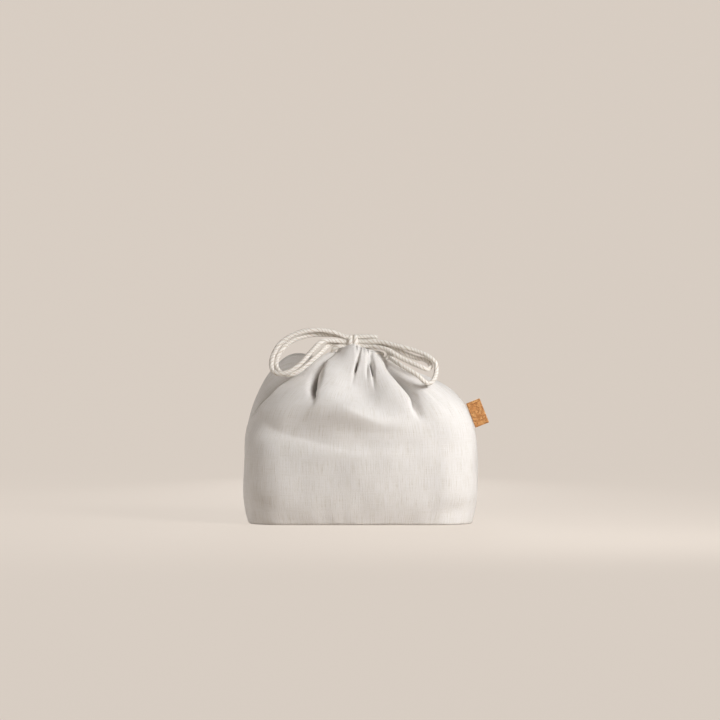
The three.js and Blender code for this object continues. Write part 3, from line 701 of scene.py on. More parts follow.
@dataclass
class BagCloth:
    """The sewn cloth: two panels, the base, the tapes inside and the turned-in hem.

    The main sizes are those of the CAD solids. The gathers, the folds and the edge of the base are finer than theirs.
    """

    linen: Finish = SlubLinen()
    tape: Finish = TwillTape()
    thread: Finish = SewingThread()
    width: float = 204 * MM
    depth: float = 112 * MM
    corner: float = 34 * MM
    cloth: float = 0.8 * MM
    flat_length: float = 195 * MM  # of a panel, from the base seam to the hem
    columns: int = 300
    row_step: float = 1.3 * MM
    # the base and the wall
    base_inset: float = 5 * MM  # the wall draws in this much towards the base
    base_turn: float = 3 * MM  # radius of the turned edge
    base_height: float = 0.75 * MM  # of the rim over the ground
    base_sag: float = 0.35 * MM  # the middle hangs this much lower
    base_wave: float = 0.12 * MM
    ground_gap: float = 0.2 * MM
    turn_end: float = 0.06  # height shares where the turned edge, the wall and the shoulder end
    wall_end: float = 0.3
    shoulder_end: float = 0.9
    # the shoulders
    shoulder_height: float = 60 * MM
    climb_early: float = 1.44  # how steeply a shoulder starts to climb
    climb_late: float = 0.78  # how high it is before the end
    lean_late: float = 0.66  # how far it has leaned in before the end
    bib: Hump = Hump(0.735, 0.105, 4)  # the front gathers
    back_bib: Hump = Hump(0.24, 0.12, 4)  # the back gathers
    tent_drop: float = 0.2  # how straight both run up to the hem; 0 is a round shoulder
    lobe: Hump = Hump(0.41, 0.07)  # the puffed shoulder at the back left
    lobe_rise: float = 23.5 * MM
    lobe_late: float = 2.6  # how high up on the shoulder it is; 1 is halfway
    right: Hump = Hump(0.0, 0.1)  # the right shoulder
    right_rise: float = 4 * MM
    right_late: float = 1.3
    left: Hump = Hump(0.43, 0.1)  # the left shoulder, which leans in later
    left_fullness: float = 0.35
    # the neck and the hem
    neck_width: float = 44 * MM
    neck_depth: float = 30 * MM
    gather_spread: float = 0.15  # how much closer the gathers are at the sides
    sweep_start: float = 0.72  # height share from which the cloth runs in one sweep to the hem
    sweep_pull: float = 2.2  # how straight the sweep arrives at the hem
    puff: Hump = Hump(0.535, 0.06)  # the gathers at the left stand higher
    puff_rise: float = 7 * MM
    flare: float = 5 * MM  # the hem line is this much wider than the top of the hem
    hem_bottom: float = 138.1 * MM
    hem_top: float = 149 * MM
    hem_inset: float = 7.2 * MM  # from the outer wall of the channel to the inner
    hem_round: float = 1.6 * MM  # how far its top rounds up
    knot_lift: float = 5 * MM  # the hem is pulled up this much under the knot
    knot_x: float = -7 * MM
    knot_width: float = 11 * MM
    knot_front: float = -6 * MM  # in full from here to the front
    lift_start: float = 0.84  # height share
    slit_angle: float = 0.42  # half of a side slit, round the neck
    right_slit: Pair = (0.885, 0.94)  # height shares where it starts and is full
    left_slit: Pair = (0.945, 0.985)
    # unevenness and seams
    fold_start: float = 0.09  # height share from which the folds are full
    wave_height: float = 0.45 * MM
    puckers: int = 23  # round the base seam
    pucker_height: float = 0.2 * MM
    seam_depth: float = 0.7 * MM
    seam_width: float = 1.1 * MM
    stitch: float = 2.3 * MM
    stitch_gap: float = 0.8 * MM
    stitch_height: float = 0.907  # height share of the hem line
    stitch_dip: tuple[float, ...] = (-0.35, -0.06, -0.02, -0.06, -0.35)  # mm off the cloth along one stitch
    thread_radius: float = 0.14 * MM
    tape_width: float = 9 * MM
    tape_depth: float = 2 * MM  # of a side tape under the outer face of the cloth
    tape_ends: Pair = (0.12, 0.84)  # height shares
    base_tape = ((0.6, 1.9), (0.6, 2.6), (9.6, 2.4), (9.6, 1.7), (0.6, 1.9))  # section: mm in from the edge, mm up

    def __post_init__(self) -> None:
        """Works out the rows of the grid and the flat lengths along it."""
        fine = np.linspace(0, 1, 2001)
        along = run_lengths(self.smooth(np.full_like(fine, 0.75), fine))
        count = round(along[-1] / self.row_step) + 1
        self.heights = np.interp(np.linspace(0, along[-1], count), along, fine)
        self.flat_heights = np.interp(self.heights, fine, along)
        straight = 2 * (self.width + self.depth) - 8 * self.corner
        self.girth = straight + math.tau * self.corner
        self.slit_share = float(np.interp(self.slit_angle, self.neck_angle(fine * 0.25), fine * 0.25))

    def belt(self, girth: Array, inset: Array | float) -> tuple[Array, Array]:
        """Point of the rounded oblong of the belly.

        Args:
            girth: Girth shares.
            inset: How far inside the belly, in metres.

        Returns:
            X and Y.
        """
        half_width = self.width / 2 - inset
        half_depth = self.depth / 2 - inset
        radius = self.corner - inset
        side = half_depth - radius
        arc = math.pi / 2 * radius
        quarter = side + arc + half_width - radius
        turn = girth - np.floor(girth)
        back = turn < 0.5
        half = np.where(back, turn, 1 - turn)
        right = half < 0.25
        along = np.where(right, half, 0.5 - half) * 4 * quarter
        angle = np.clip((along - side) / radius, 0, math.pi / 2)
        flat = np.maximum(along - side - arc, 0)
        x = half_width - radius + radius * np.cos(angle) - flat
        y = np.minimum(along, side) + radius * np.sin(angle)
        return np.where(right, x, -x), np.where(back, y, -y)

    def neck_angle(self, girth: Array) -> Array:
        """Angle round the oval neck where a girth share ends up."""
        return math.tau * girth - self.gather_spread * np.sin(4 * math.pi * girth)

    def neck(self, angle: Array, inset: float, z: Array | float) -> Array:
        """Points of the oval neck.

        Args:
            angle: Angles round it.
            inset: How far they are moved in along its normal, in metres.
            z: Their height.

        Returns:
            Points, in metres.
        """
        a, b = self.neck_width / 2, self.neck_depth / 2
        normal = unit(np.stack([np.cos(angle) / a, np.sin(angle) / b], -1))
        x, y = a * np.cos(angle) - inset * normal[..., 0], b * np.sin(angle) - inset * normal[..., 1]
        return np.stack(np.broadcast_arrays(x, y, z), -1)

    def body(self, girth: Array, height: Array) -> Array:
        """The belly and the shoulders without folds.

        Args:
            girth: Girth shares.
            height: Height shares, of the same shape.

        Returns:
            Points, in metres.
        """
        turn = np.clip(height / self.turn_end, 0, 1) * math.pi / 2
        wall = np.clip((height - self.turn_end) / (self.wall_end - self.turn_end), 0, 1)
        rise = np.clip((height - self.wall_end) / (self.shoulder_end - self.wall_end), 0, 1)
        low_inset = self.base_inset + self.base_turn * (1 - np.sin(turn))
        inset = np.where(height < self.turn_end, low_inset, self.base_inset * (1 - wall) ** 4)
        late = self.climb_late - self.tent_drop * (self.bib.at(girth) + self.back_bib.at(girth))
        climb = self.climb_early * (1 - rise) ** 2 * rise + 3 * late * (1 - rise) * rise**2 + rise**3
        lean = self.lean_late * (1 - rise) * rise**2 + rise**3
        z = self.base_turn * (1 - np.cos(turn)) + (self.shoulder_height - self.base_turn) * wall
        z = z + (self.hem_bottom - self.shoulder_height) * climb
        z = z + self.lobe_rise * self.lobe.at(girth) * np.sin(math.pi * rise**self.lobe_late)
        z = z + self.right_rise * self.right.at(girth) * np.sin(math.pi * rise**self.right_late)
        inwards = lean * (1 - self.left_fullness * self.left.at(girth) * (1 - lean))
        low = np.stack([*self.belt(girth, inset), z], -1)
        high = self.neck(self.neck_angle(girth), 0.0, z)
        return low + (high - low) * inwards[..., None]

    def smooth(self, girth: Array, height: Array) -> Array:
        """The cloth without its folds: the body, and from its shoulders up one sweep to the top of the hem.

        Args:
            girth: Girth shares.
            height: Height shares, of the same shape.

        Returns:
            Points, in metres.
        """
        near = 0.01
        span = 1 - self.sweep_start
        start = self.body(girth, np.full_like(height, self.sweep_start))
        leave = (start - self.body(girth, np.full_like(height, self.sweep_start - near))) / near * span
        angle = self.neck_angle(girth)
        top = self.neck(angle, 0.0, self.hem_top - self.cloth)
        under = self.neck(angle, -self.flare, self.hem_bottom)
        t = np.clip((height - self.sweep_start) / span, 0, 1)[..., None]
        sweep = hermite(t, start, leave, top, (top - under) * self.sweep_pull)
        swell = 27 / 4 * t**2 * (1 - t)  # 1 at its highest
        sweep[..., 2] += self.puff_rise * self.puff.at(girth) * swell[..., 0]
        return np.where(t > 0, sweep, self.body(girth, height))

    def axes(self, girth: Array, height: Array) -> tuple[Array, Array, Array]:
        """Directions on the smooth cloth.

        Args:
            girth: Girth shares.
            height: Height shares, of the same shape.

        Returns:
            The length of a whole turn, the direction along the girth, and the outward normal.
        """
        step, climb = 0.002, 0.004
        along = (self.smooth(girth + step, height) - self.smooth(girth - step, height)) / (2 * step)
        up = self.smooth(girth, np.minimum(height + climb, 1)) - self.smooth(girth, np.maximum(height - climb, 0))
        return np.linalg.norm(along, axis=-1), unit(along), unit(np.cross(along, up))

    def flat_at(self, height: Array | float) -> Array | float:
        """Length along the flat cloth from the base seam to a height share."""
        return np.interp(height, self.heights, self.flat_heights)

    def draped(self, girth: Array, height: Array) -> Array:
        """The cloth with its folds.

        Args:
            girth: Girth shares, a grid with a row for each height.
            height: Height share of each row.

        Returns:
            Points, in metres.
        """
        tall = np.broadcast_to(height[:, None], girth.shape)
        points = self.smooth(girth, tall)
        stretch, along, out = self.axes(girth, tall)
        move, slide = np.zeros(girth.shape), np.zeros(girth.shape)
        for fold in FOLDS:
            sink, shift = fold.press(girth, height, stretch)
            move -= sink
            slide += shift
        for dent in DENTS:
            rise = self.flat_at(height) - self.flat_at(dent.height)
            move -= dent.press(around(girth, dent.girth) * stretch, rise[:, None])
        move = move * smoothstep(0.0, self.fold_start, tall) + self.ripple(girth, tall)
        points = points + out * move[..., None] + along * slide[..., None]
        beside = np.exp(-(((points[..., 0] - self.knot_x) / self.knot_width) ** 2))
        lift = beside * smoothstep(0.0, self.knot_front, points[..., 1])
        points[..., 2] += self.knot_lift * lift * smoothstep(self.lift_start, 1.0, tall)
        points[..., 2] = np.maximum(points[..., 2], self.ground_gap)
        return points

    def ripple(self, girth: Array, height: Array) -> Array:
        """Slight unevenness of the cloth.

        Args:
            girth: Girth shares.
            height: Height shares, of the same shape.

        Returns:
            How far each point stands out, in metres.
        """
        draws = np.random.default_rng(SEED)
        waves = np.zeros(girth.shape)
        for turns in (5, 7, 9, 12, 16, 21):
            climbs, phase = draws.uniform(-6, 6), draws.uniform(0, math.tau)
            waves += np.sin(math.tau * (turns * girth + climbs * height) + phase) / math.sqrt(turns)
        calm = smoothstep(0.02, 0.12, height) * (1 - smoothstep(0.7, 0.9, height))
        pucker = np.sin(math.tau * self.puckers * girth + 2.0 * np.sin(14 * math.pi * girth))
        at_base = smoothstep(0.03, 0.07, height) * (1 - smoothstep(0.07, 0.2, height))
        seam = np.abs(girth * 2 - np.round(girth * 2)) / 2 * self.girth
        groove = np.exp(-seam / self.seam_width) * smoothstep(0.05, 0.1, height)
        return self.wave_height * waves * calm + self.pucker_height * pucker * at_base - self.seam_depth * groove

    def panel_girth(self, panel: Panel, height: Array) -> Array:
        """Girth shares of a panel's grid, whose rows stop short at the slits of the hem.

        Args:
            panel: The panel.
            height: Height share of each row.

        Returns:
            A row of girth shares for each height.
        """
        right, left = (self.slit_share * smoothstep(*s, height)[:, None] for s in (self.right_slit, self.left_slit))
        first, last = (left, right) if panel is Panel.FRONT else (right, left)
        share = np.linspace(0, 1, self.columns + 1)[None, :]
        return panel.value + 0.5 * share + first * (1 - share) ** 4 - last * share**4

    def build(self) -> None:
        """Builds and dresses all the sewn pieces."""
        for panel in Panel:
            side = panel.name.lower()
            girth = self.panel_girth(panel, self.heights)
            points = self.draped(girth, self.heights)
            cloth = make_sheet(f"{side}_cloth", points, girth * self.girth, self.flat_heights, self.cloth)
            settle(cloth, self.linen, Body.BAG, f"{side}_panel")
            self.build_hem(side, points[-1], girth[-1])
            self.build_stitches(side, panel)
        self.build_base()
        for side, seam in (("right", 0.0), ("left", 0.5)):
            self.build_seam_tape(side, seam)

    def build_hem(self, side: str, top: Array, girth: Array) -> None:
        """Turns the top of a panel in, over the cords, and down to the hem line.

        Args:
            side: "front" or "back".
            top: The panel's top row of points.
            girth: The girth shares of that row.
        """
        inner = self.neck(self.neck_angle(girth), self.hem_inset, top[:, 2])
        rows = []
        for turn in np.linspace(0, math.pi, 9):
            row = top + (inner - top) * (1 - math.cos(turn)) / 2
            row[:, 2] += self.hem_round * math.sin(turn)
            rows.append(row)
        for drop in np.linspace(0, 1, 8)[1:]:
            row = inner.copy()
            row[:, 2] += (self.hem_bottom - row[:, 2]) * drop
            rows.append(row)
        grid = np.array(rows)
        along = self.flat_heights[-1] + run_lengths(grid[:, 0])
        hem = make_sheet(f"{side}_hem", grid, girth * self.girth, along, self.cloth)
        settle(hem, self.linen, Body.BAG, f"{side}_casing")

    def build_stitches(self, side: str, panel: Panel) -> None:
        """Sews the hem line of a panel.

        Args:
            side: "front" or "back".
            panel: The panel.
        """
        height = np.array([self.stitch_height])
        line = self.draped(self.panel_girth(panel, height), height)[0]
        along = run_lengths(line)
        out = unit(line * (1, 2, 0))
        dip = np.array(self.stitch_dip)[:, None] * MM
        sides, gap = 6, self.stitch_gap
        points, faces = [], []
        for start in np.arange(gap, along[-1] - self.stitch - gap, self.stitch + gap):
            steps = np.linspace(start, start + self.stitch, len(dip))
            path = points_at(line, along, steps) + points_at(out, along, steps) * dip
            base = sides * len(dip) * len(points)
            points.append(tube_rings(path, self.thread_radius, sides).reshape(-1, 3))
            faces += [tuple(base + k for k in face) for face in grid_faces(len(dip), sides, closed=True)]
        settle(make_piece(f"{side}_hem_stitches", np.concatenate(points), faces), self.thread, Body.BAG)

    def build_base(self) -> None:
        """Makes the base with its soft edge, and the tape over its seam inside."""
        edge = self.base_inset + self.base_turn
        rows, columns = 26, 240
        girth = np.arange(columns) / columns
        share = np.linspace(0.04, 1, rows)[:, None]
        wave = self.base_wave * np.sin(math.tau * (5 * share + 3 * girth)) * (1 - share)
        z = self.base_height - (self.base_sag * (1 - share**6) + wave)
        x, y = self.belt(girth, edge)
        below = np.stack([x * share, y * share, z], -1).reshape(-1, 3)
        points = np.concatenate([below, below + (0, 0, self.cloth)])
        count = len(below)
        outer = count - columns
        faces = [face[::-1] for face in grid_faces(rows, columns, closed=True)]
        faces += [tuple(k + count for k in face) for face in grid_faces(rows, columns, closed=True)]
        for i in range(columns):
            low, high = outer + i, outer + (i + 1) % columns
            faces.append((low, high, count + high, count + low))
        faces += [tuple(range(columns)), tuple(count + i for i in range(columns))[::-1]]
        base = make_piece("base_cloth", points, faces, points[:, :2].copy())
        settle(base, self.linen, Body.BAG, "base_panel")
        ring = []
        for inset, up in self.base_tape:
            x, y = self.belt(girth, edge + inset * MM)
            ring.append(np.stack([x, y, np.full_like(x, up * MM)], -1))
        along = np.arange(len(ring))[:, None] * self.tape_width
        uv = np.stack(np.broadcast_arrays(girth * self.girth, along), -1)
        binding = make_piece("base_tape", np.array(ring), grid_faces(len(ring), columns, closed=True), uv)
        settle(binding, self.tape, Body.BAG, "base_binding")

    def build_seam_tape(self, side: str, seam: float) -> None:
        """Makes the tape over a side seam, on the inside.

        Args:
            side: "left" or "right".
            seam: Girth share of the seam.
        """
        low, high = self.tape_ends
        heights = self.heights[(self.heights > low) & (self.heights < high)]
        across = np.linspace(-self.tape_width / 2, self.tape_width / 2, 9)
        stretch = self.axes(np.full((len(heights), 1), seam), heights[:, None])[0]
        points = self.draped(seam + across / stretch, heights)
        up, along = np.gradient(points, axis=(0, 1))
        points = points - unit(np.cross(along, up)) * self.tape_depth
        piece = make_sheet(f"{side}_seam_tape", points, across, self.flat_at(heights), self.cloth)
        settle(piece, self.tape, Body.BAG, f"{side}_seam_binding")


# Cords


def tube_frames(path: Array) -> tuple[Array, Array]:
    """Two directions square to a path at each of its points, carried along it without twist.

    Args:
        path: Points of the path.

    Returns:
        The two directions at each point.
    """
    tangent = unit(np.gradient(path, axis=0))
    first = np.zeros_like(path)
    start = np.array([0.0, 0.0, 1.0]) if abs(tangent[0][2]) < 0.9 else np.array([0.0, 1.0, 0.0])
    first[0] = unit(np.cross(tangent[0], np.cross(start, tangent[0])))
    for k in range(1, len(path)):
        carried = first[k - 1] - tangent[k] * np.dot(first[k - 1], tangent[k])
        first[k] = carried / np.linalg.norm(carried)
    return first, np.cross(tangent, first)


def tube_rings(path: Array, radius: Array | float, sides: int) -> Array:
    """Rings of points of a round tube along a path.

    Args:
        path: Points of the path.
        radius: One radius, or one for each point of each ring.
        sides: Points in a ring.

    Returns:
        A ring of points for each point of the path.
    """
    first, second = tube_frames(path)
    angle = math.tau * np.arange(sides) / sides
    ring = np.cos(angle)[None, :, None] * first[:, None] + np.sin(angle)[None, :, None] * second[:, None]
    return path[:, None] + radius * ring


def route(points: list[Array] | Array, step: float) -> Array:
    """A smooth curve through given points: a centripetal spline, as in the CAD source.

    Args:
        points: The points that it passes through.
        step: Distance from one point of the result to the next, in metres.

    Returns:
        Evenly spaced points of the curve.
    """
    ends = [2 * points[0] - points[1], *points, 2 * points[-1] - points[-2]]
    curve = [points[0]]
    for p0, p1, p2, p3 in zip(ends, ends[1:], ends[2:], ends[3:]):
        d0, d1, d2 = (max(np.linalg.norm(b - a), 1e-9) ** 0.5 for a, b in ((p0, p1), (p1, p2), (p2, p3)))
        m1 = ((p1 - p0) / d0 - (p2 - p0) / (d0 + d1) + (p2 - p1) / d1) * d1
        m2 = ((p2 - p1) / d1 - (p3 - p1) / (d1 + d2) + (p3 - p2) / d2) * d1
        curve += [hermite(t, p1, m1, p2, m2) for t in np.linspace(0, 1, 25)[1:]]
    curve = np.array(curve)
    along = run_lengths(curve)
    return points_at(curve, along, np.linspace(0, along[-1], max(round(along[-1] / step), 4) + 1))


@dataclass
class Bow:
    """The two drawcords, doubled and tied: leads out of the hem, a knot with two wraps, two loops and a cut end.

    Routes are given points in millimetres from the middle of the knot, the same as in the CAD source.
    """

    cloth: BagCloth
    cotton: Finish = TwistedCotton()
    diameter: float = 4 * MM
    knot: Place = (-6.7 * MM, -3 * MM, 156.5 * MM)
    face: float = 4.55 * MM  # from the middle of the knot to where the strands meet it
    square: float = 2  # mm out from that face, where a strand starts to run square to it
    sunk: float = 0.9  # mm that a strand goes in
    wrap_radius: float = 4.2 * MM
    wrap_leg: float = 5.8 * MM
    wrap_pitch: float = 2.25 * MM
    wrap_full: float = 1.14  # thickness of the wraps beside that of the slack cord
    hem_inset: float = 3.3 * MM  # from the outer face of the hem to the middle of a cord in it
    left_height: float = 145.7 * MM  # of the left cord in the hem
    right_height: float = 141.4 * MM
    straight: float = 2.3 * MM  # how far a lead goes straight on from its slit
    bend: float = 14 * MM  # the stretch of a loop that bends when it lifts
    shortest: float = 30 * MM  # a shorter stretch doesn't count as a cord
    lay: float = 11 * MM  # one turn of a yarn round the cord
    lay_waves: tuple[float, ...] = (17 * MM, 29 * MM, 47 * MM)  # lengths over which the lay is uneven
    slub: float = 21 * MM  # from one thick place to the next
    ring_step: float = 0.9 * MM
    sides: int = 21

    left_outer = (
        (-14.6, -3, 7.6), (-25, -4, 9.8), (-36.2, -6, 10), (-47.4, -8, 7.6), (-57.3, -11, 2.8),
        (-64.5, -14, -3.7), (-68.6, -17, -11.5), (-70.1, -21, -19.2), (-68.5, -24, -25.3), (-63.3, -27, -27.8),
        (-56.4, -27, -26.5), (-49.6, -25, -22.7), (-42.8, -22, -16.7), (-36, -17, -8.9), (-30, -12, -2.4),
        (-24.9, -8, 0.7), (-17.2, -4.5, 1),
    )
    left_inner = (
        (-14.6, 3, 5.9), (-25, 2, 6.4), (-36.3, 0, 5.9), (-46.7, -3, 3.3), (-55.3, -6, -1.1), (-62.1, -10, -8),
        (-65.4, -14, -15.4), (-65.7, -18, -21.4), (-62.6, -21.5, -26.1), (-55.6, -22.8, -28.6),
        (-47.9, -22, -26.4), (-40.3, -19, -20.8), (-32.6, -13.5, -14), (-26.6, -7.5, -8.3), (-20.6, -1, -2.6),
        (-13.7, 1.5, -0.6),
    )
    right_outer = (
        (11.5, -3, 0.1), (23.6, -6, -0.3), (35.7, -10, -2.9), (46.9, -14, -5.9), (58, -18, -9.3),
        (65.6, -22, -13.2), (70.7, -25, -17.8), (71.8, -28, -22.9), (71, -31, -28.9), (68.3, -33.5, -34),
        (65.3, -35, -35.9), (61.6, -35.5, -34.2), (56.3, -34.5, -29.5), (50.4, -32, -25.6), (43, -28, -21.4),
        (37, -20.5, -17.5), (33, -14.3, -14.3), (32, -9, -11.2), (29.6, -6.8, -7.2), (24.5, -3.6, -4.5),
        (19.5, -1.2, -4.6), (12.7, 1, -4.3),
    )
    right_inner = (
        (11.5, 1.8, -0.2), (21, -0.4, -0.1), (32.3, -4.4, -3.4), (43.5, -9, -9.5), (54.6, -13, -14.1),
        (62.1, -16, -15.5), (66.1, -19.5, -18.6), (66.9, -23, -22.1), (63.8, -25.5, -23.5), (57, -25.5, -21),
        (47.6, -21, -17.1), (38.2, -16, -12.2), (28.7, -11, -6.4), (22.7, -7.8, -5.1), (16.7, -4.8, -4.3),
    )
    left_front_lead = ((-10.5, 2.9, -6.1), (-10.5, 5.7, -3.6), (-9, 6.7, -1.2))
    left_back_lead = ((-15.8, 3.9, -10.7), (-17.3, 0.6, -8.9), (-16.4, -2.4, -6), (-12.3, -3.2, -4.2))
    right_front_lead = (
        (28.9, 0.8, -14.4), (31.7, 2.1, -11.5), (32.5, 4, -7.9), (30, 5.8, -4.9), (23.2, 6.6, -2.5),
        (13.7, 6.6, -0.5),
    )
    right_back_lead = (
        (28.9, 5.5, -14.4), (31.7, 7.3, -12), (32.2, 10.5, -7.5), (28.7, 11.6, -3), (20.7, 11, 0.5),
        (11.7, 8.8, 3.5),
    )
    tail = ((13, 0, 4.7), (21.5, 0, 4))
    core = ((-4.3, 0, 0), (-1.5, 0.2, 0.1), (1.5, -0.2, -0.1), (4.3, 0, 0))

    def from_knot(self, points: tuple) -> list[Array]:
        """Places millimetres from the middle of the knot, in the frame."""
        return [np.array(self.knot) + np.array(p) * MM for p in points]

    def into_knot(self, side: int, y: float, z: float) -> list[Array]:
        """The last two points of a strand that meets a face of the knot square on and ends inside it.

        Args:
            side: -1 for the left face and 1 for the right.
            y: Place on the face, in millimetres from the middle of the knot.
            z: The same, upwards.

        Returns:
            The points, towards the knot.
        """
        face = self.face / MM
        return self.from_knot(((side * (face + self.square), y, z), (side * (face - self.sunk), y, z)))

    def strand(
        self, name: str, node: str, points: list[Array] | Array, body: Body | None = Body.BAG, cut: bool = False,
        full: float = 1.0,
    ) -> tuple[Piece, Array]:
        """Lays up a three-yarn cord along a route and dresses it.

        Args:
            name: Name of the piece.
            node: The CAD node that it replaces.
            points: Points of its route.
            body: The body it rides on, or None, which leaves it on no body.
            cut: Whether its last end is a cut end that shows.
            full: Thickness beside that of the slack cord.

        Returns:
            The new piece, with the depth of its grooves as an attribute, and its middle line.
        """
        path = route(points, self.ring_step)
        along = run_lengths(path)
        turn = math.tau * along / self.lay
        draws = np.random.default_rng(SEED + len(name))
        for wave in self.lay_waves:
            turn = turn + 0.5 * np.sin(math.tau * along / wave + draws.uniform(0, math.tau))
        angle = (math.tau * np.arange(self.sides) / self.sides)[None, :] - turn[:, None]
        crown = np.abs(np.cos(1.5 * angle)) ** 0.7
        uneven = 1 + 0.03 * np.sin(math.tau * along / self.slub + draws.uniform(0, math.tau))
        radius = self.diameter / 2 * full * (0.92 + 0.10 * crown) * uneven[:, None]
        if cut:
            radius[-3:] *= np.array([[0.98], [0.9], [0.7]])
        faces = grid_faces(len(path), self.sides, closed=True)
        last = (len(path) - 1) * self.sides
        faces += [tuple(range(self.sides))[::-1], tuple(last + i for i in range(self.sides))]
        uv = np.stack(np.broadcast_arrays(angle * self.diameter / 2, along[:, None]), -1)
        piece = make_piece(name, tube_rings(path, radius[..., None], self.sides), faces, uv)
        # the depth of the grooves, which the cord's finish paints as shade
        groove = piece.data.attributes.new("groove", "FLOAT", "POINT")
        groove.data.foreach_set("value", (1 - crown).astype(np.float32).ravel())
        return settle(piece, self.cotton, body, node), path

    def channel(self, middle: float, z: float) -> Array:
        """Points of a drawcord inside the hem, once round from its slit.

        Args:
            middle: Angle of its slit.
            z: Its height.

        Returns:
            The points.
        """
        slit = self.cloth.slit_angle
        return self.cloth.neck(middle + np.linspace(slit, math.tau - slit, 60), self.hem_inset, z)

    def build(self) -> None:
        """Builds and dresses every stretch of the cords."""
        rings = {"left": self.channel(math.pi, self.left_height), "right": self.channel(0, self.right_height)}
        for side, ring in rings.items():
            self.strand(f"{side}_hem_cord", f"{side}_drawcord", ring)
        leads = (
            ("left_lead_front", rings["left"], self.left_front_lead, (-1, 6.6, 0.1)),
            ("left_lead_back", rings["left"][::-1], self.left_back_lead, (-1, -2.2, -4.2)),
            ("right_lead_front", rings["right"][::-1], self.right_front_lead, (1, 6.6, 0.1)),
            ("right_lead_back", rings["right"], self.right_back_lead, (1, 6.6, 4.4)),
        )
        for node, ring, points, end in leads:
            ahead = ring[0] + unit(ring[0] - ring[1]) * self.straight
            way = [ring[0], ahead, *self.from_knot(points), *self.into_knot(*end)]
            self.declare(*self.strand(f"{node}_cord", node, way))
        self.build_knot()
        loops = (
            ("left_loop_outer", self.left_outer, -1, (-2.2, 4.4), (-2.2, 0.1), Body.LEFT_LOOP),
            ("left_loop_inner", self.left_inner, -1, (2.2, 4.4), (2.2, 0.1), Body.LEFT_LOOP),
            ("right_loop_outer", self.right_outer, 1, (-2.2, 0.1), (2.2, -4.2), Body.RIGHT_LOOP),
            ("right_loop_inner", self.right_inner, 1, (2.2, 0.1), (-2.2, -4.2), Body.RIGHT_LOOP),
        )
        for node, points, side, start, end, body in loops:
            way = [*self.into_knot(side, *start)[::-1], *self.from_knot(points), *self.into_knot(side, *end)]
            piece, path = self.strand(f"{node}_cord", node, way, None)
            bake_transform(piece)
            self.declare(piece, path)
        way = [*self.into_knot(1, 0, 4.4)[::-1], *self.from_knot(self.tail)]
        self.strand("cord_tail_cord", "cord_tail", way, Body.TAIL, cut=True)

    def declare(self, piece: Piece, path: Array) -> None:
        """Measures the length of a free stretch of cord, and does nothing more with it.

        Args:
            piece: The stretch; not used.
            path: Its middle line.
        """
        length = float(run_lengths(path)[-1])
        if length < self.shortest:
            return

    def build_knot(self) -> None:
        """Builds the two wraps and the strands that cross inside them."""
        radius = self.wrap_radius
        angle = np.linspace(0, math.pi, 15)
        legs = np.linspace(-self.wrap_leg, 0, 5)[:-1]
        y = np.concatenate([np.full(len(legs), -radius), -radius * np.cos(angle), np.full(len(legs), radius)])
        z = np.concatenate([legs, radius * np.sin(angle), legs[::-1]])
        for side, x in (("left", -self.wrap_pitch), ("right", self.wrap_pitch)):
            way = np.array(self.knot) + np.stack([np.full_like(y, x), y, z], -1)
            self.strand(f"{side}_wrap", f"knot_wrap_{side}", way, full=self.wrap_full)
        self.strand("knot_strands", "knot_core", self.from_knot(self.core))


# Tag


@dataclass
class CorkTag:
    """A strip of cork-faced sheet, folded over and sewn into the right side seam."""

    cork: Finish = CorkSheet()
    root: Place = (96.552 * MM, 0, 92.5 * MM)
    out: Place = (0.930007, 0, 0.367542)
    length: float = 22.5 * MM
    reach: float = 12.5 * MM
    thickness: float = 1.6 * MM
    sheet: float = 0.7 * MM
    sewn_in: float = 0.6 * MM
    curl: float = 0.35 * MM

    def section(self) -> Array:
        """Outline of the folded strip: how far out and how far aside, once round."""
        half = self.thickness / 2
        middle = half - self.sheet / 2
        turn = np.linspace(-math.pi / 2, math.pi / 2, 9)
        far = self.reach - 2 * half
        flat = np.linspace(-self.sewn_in, far, 12)
        across = np.concatenate([flat[:-1], far + half * np.cos(turn), flat[::-1][1:]])
        leg = np.full(len(flat) - 1, middle)
        line = np.stack([across, np.concatenate([-leg, middle * np.sin(turn), leg])], -1)
        normal = np.gradient(line, axis=0)
        normal = unit(np.stack([normal[:, 1], -normal[:, 0]], -1))
        return np.concatenate([line + normal * self.sheet / 2, (line - normal * self.sheet / 2)[::-1]])

    def build(self) -> None:
        """Builds and dresses the tag."""
        section = self.section()
        out, side = np.array(self.out), np.array([0.0, 1.0, 0.0])
        along = np.cross(out, side)
        steps = np.linspace(-self.length / 2, self.length / 2, 24)
        rows = []
        for step in steps:
            curl = self.curl * np.sin(2.2 * step / self.length + 0.4) * (section[:, 0] / self.reach) ** 2
            aside = (section[:, 1] + curl)[:, None] * side
            rows.append(np.array(self.root) + section[:, :1] * out + aside + step * along)
        count = len(section)
        uv = np.stack(np.broadcast_arrays(run_lengths(section), steps[:, None]), -1)
        faces = [face[::-1] for face in grid_faces(len(steps), count, closed=True)]
        for j, flip in ((0, 1), (len(steps) - 1, -1)):
            for i in range(count // 2 - 1):
                quad = (i, i + 1, count - 2 - i, count - 1 - i)
                faces.append(tuple(j * count + k for k in quad)[::flip])
        settle(make_piece("folded_tag", np.array(rows), faces, uv), self.cork, Body.TAG, "cork_tag")


# Studio


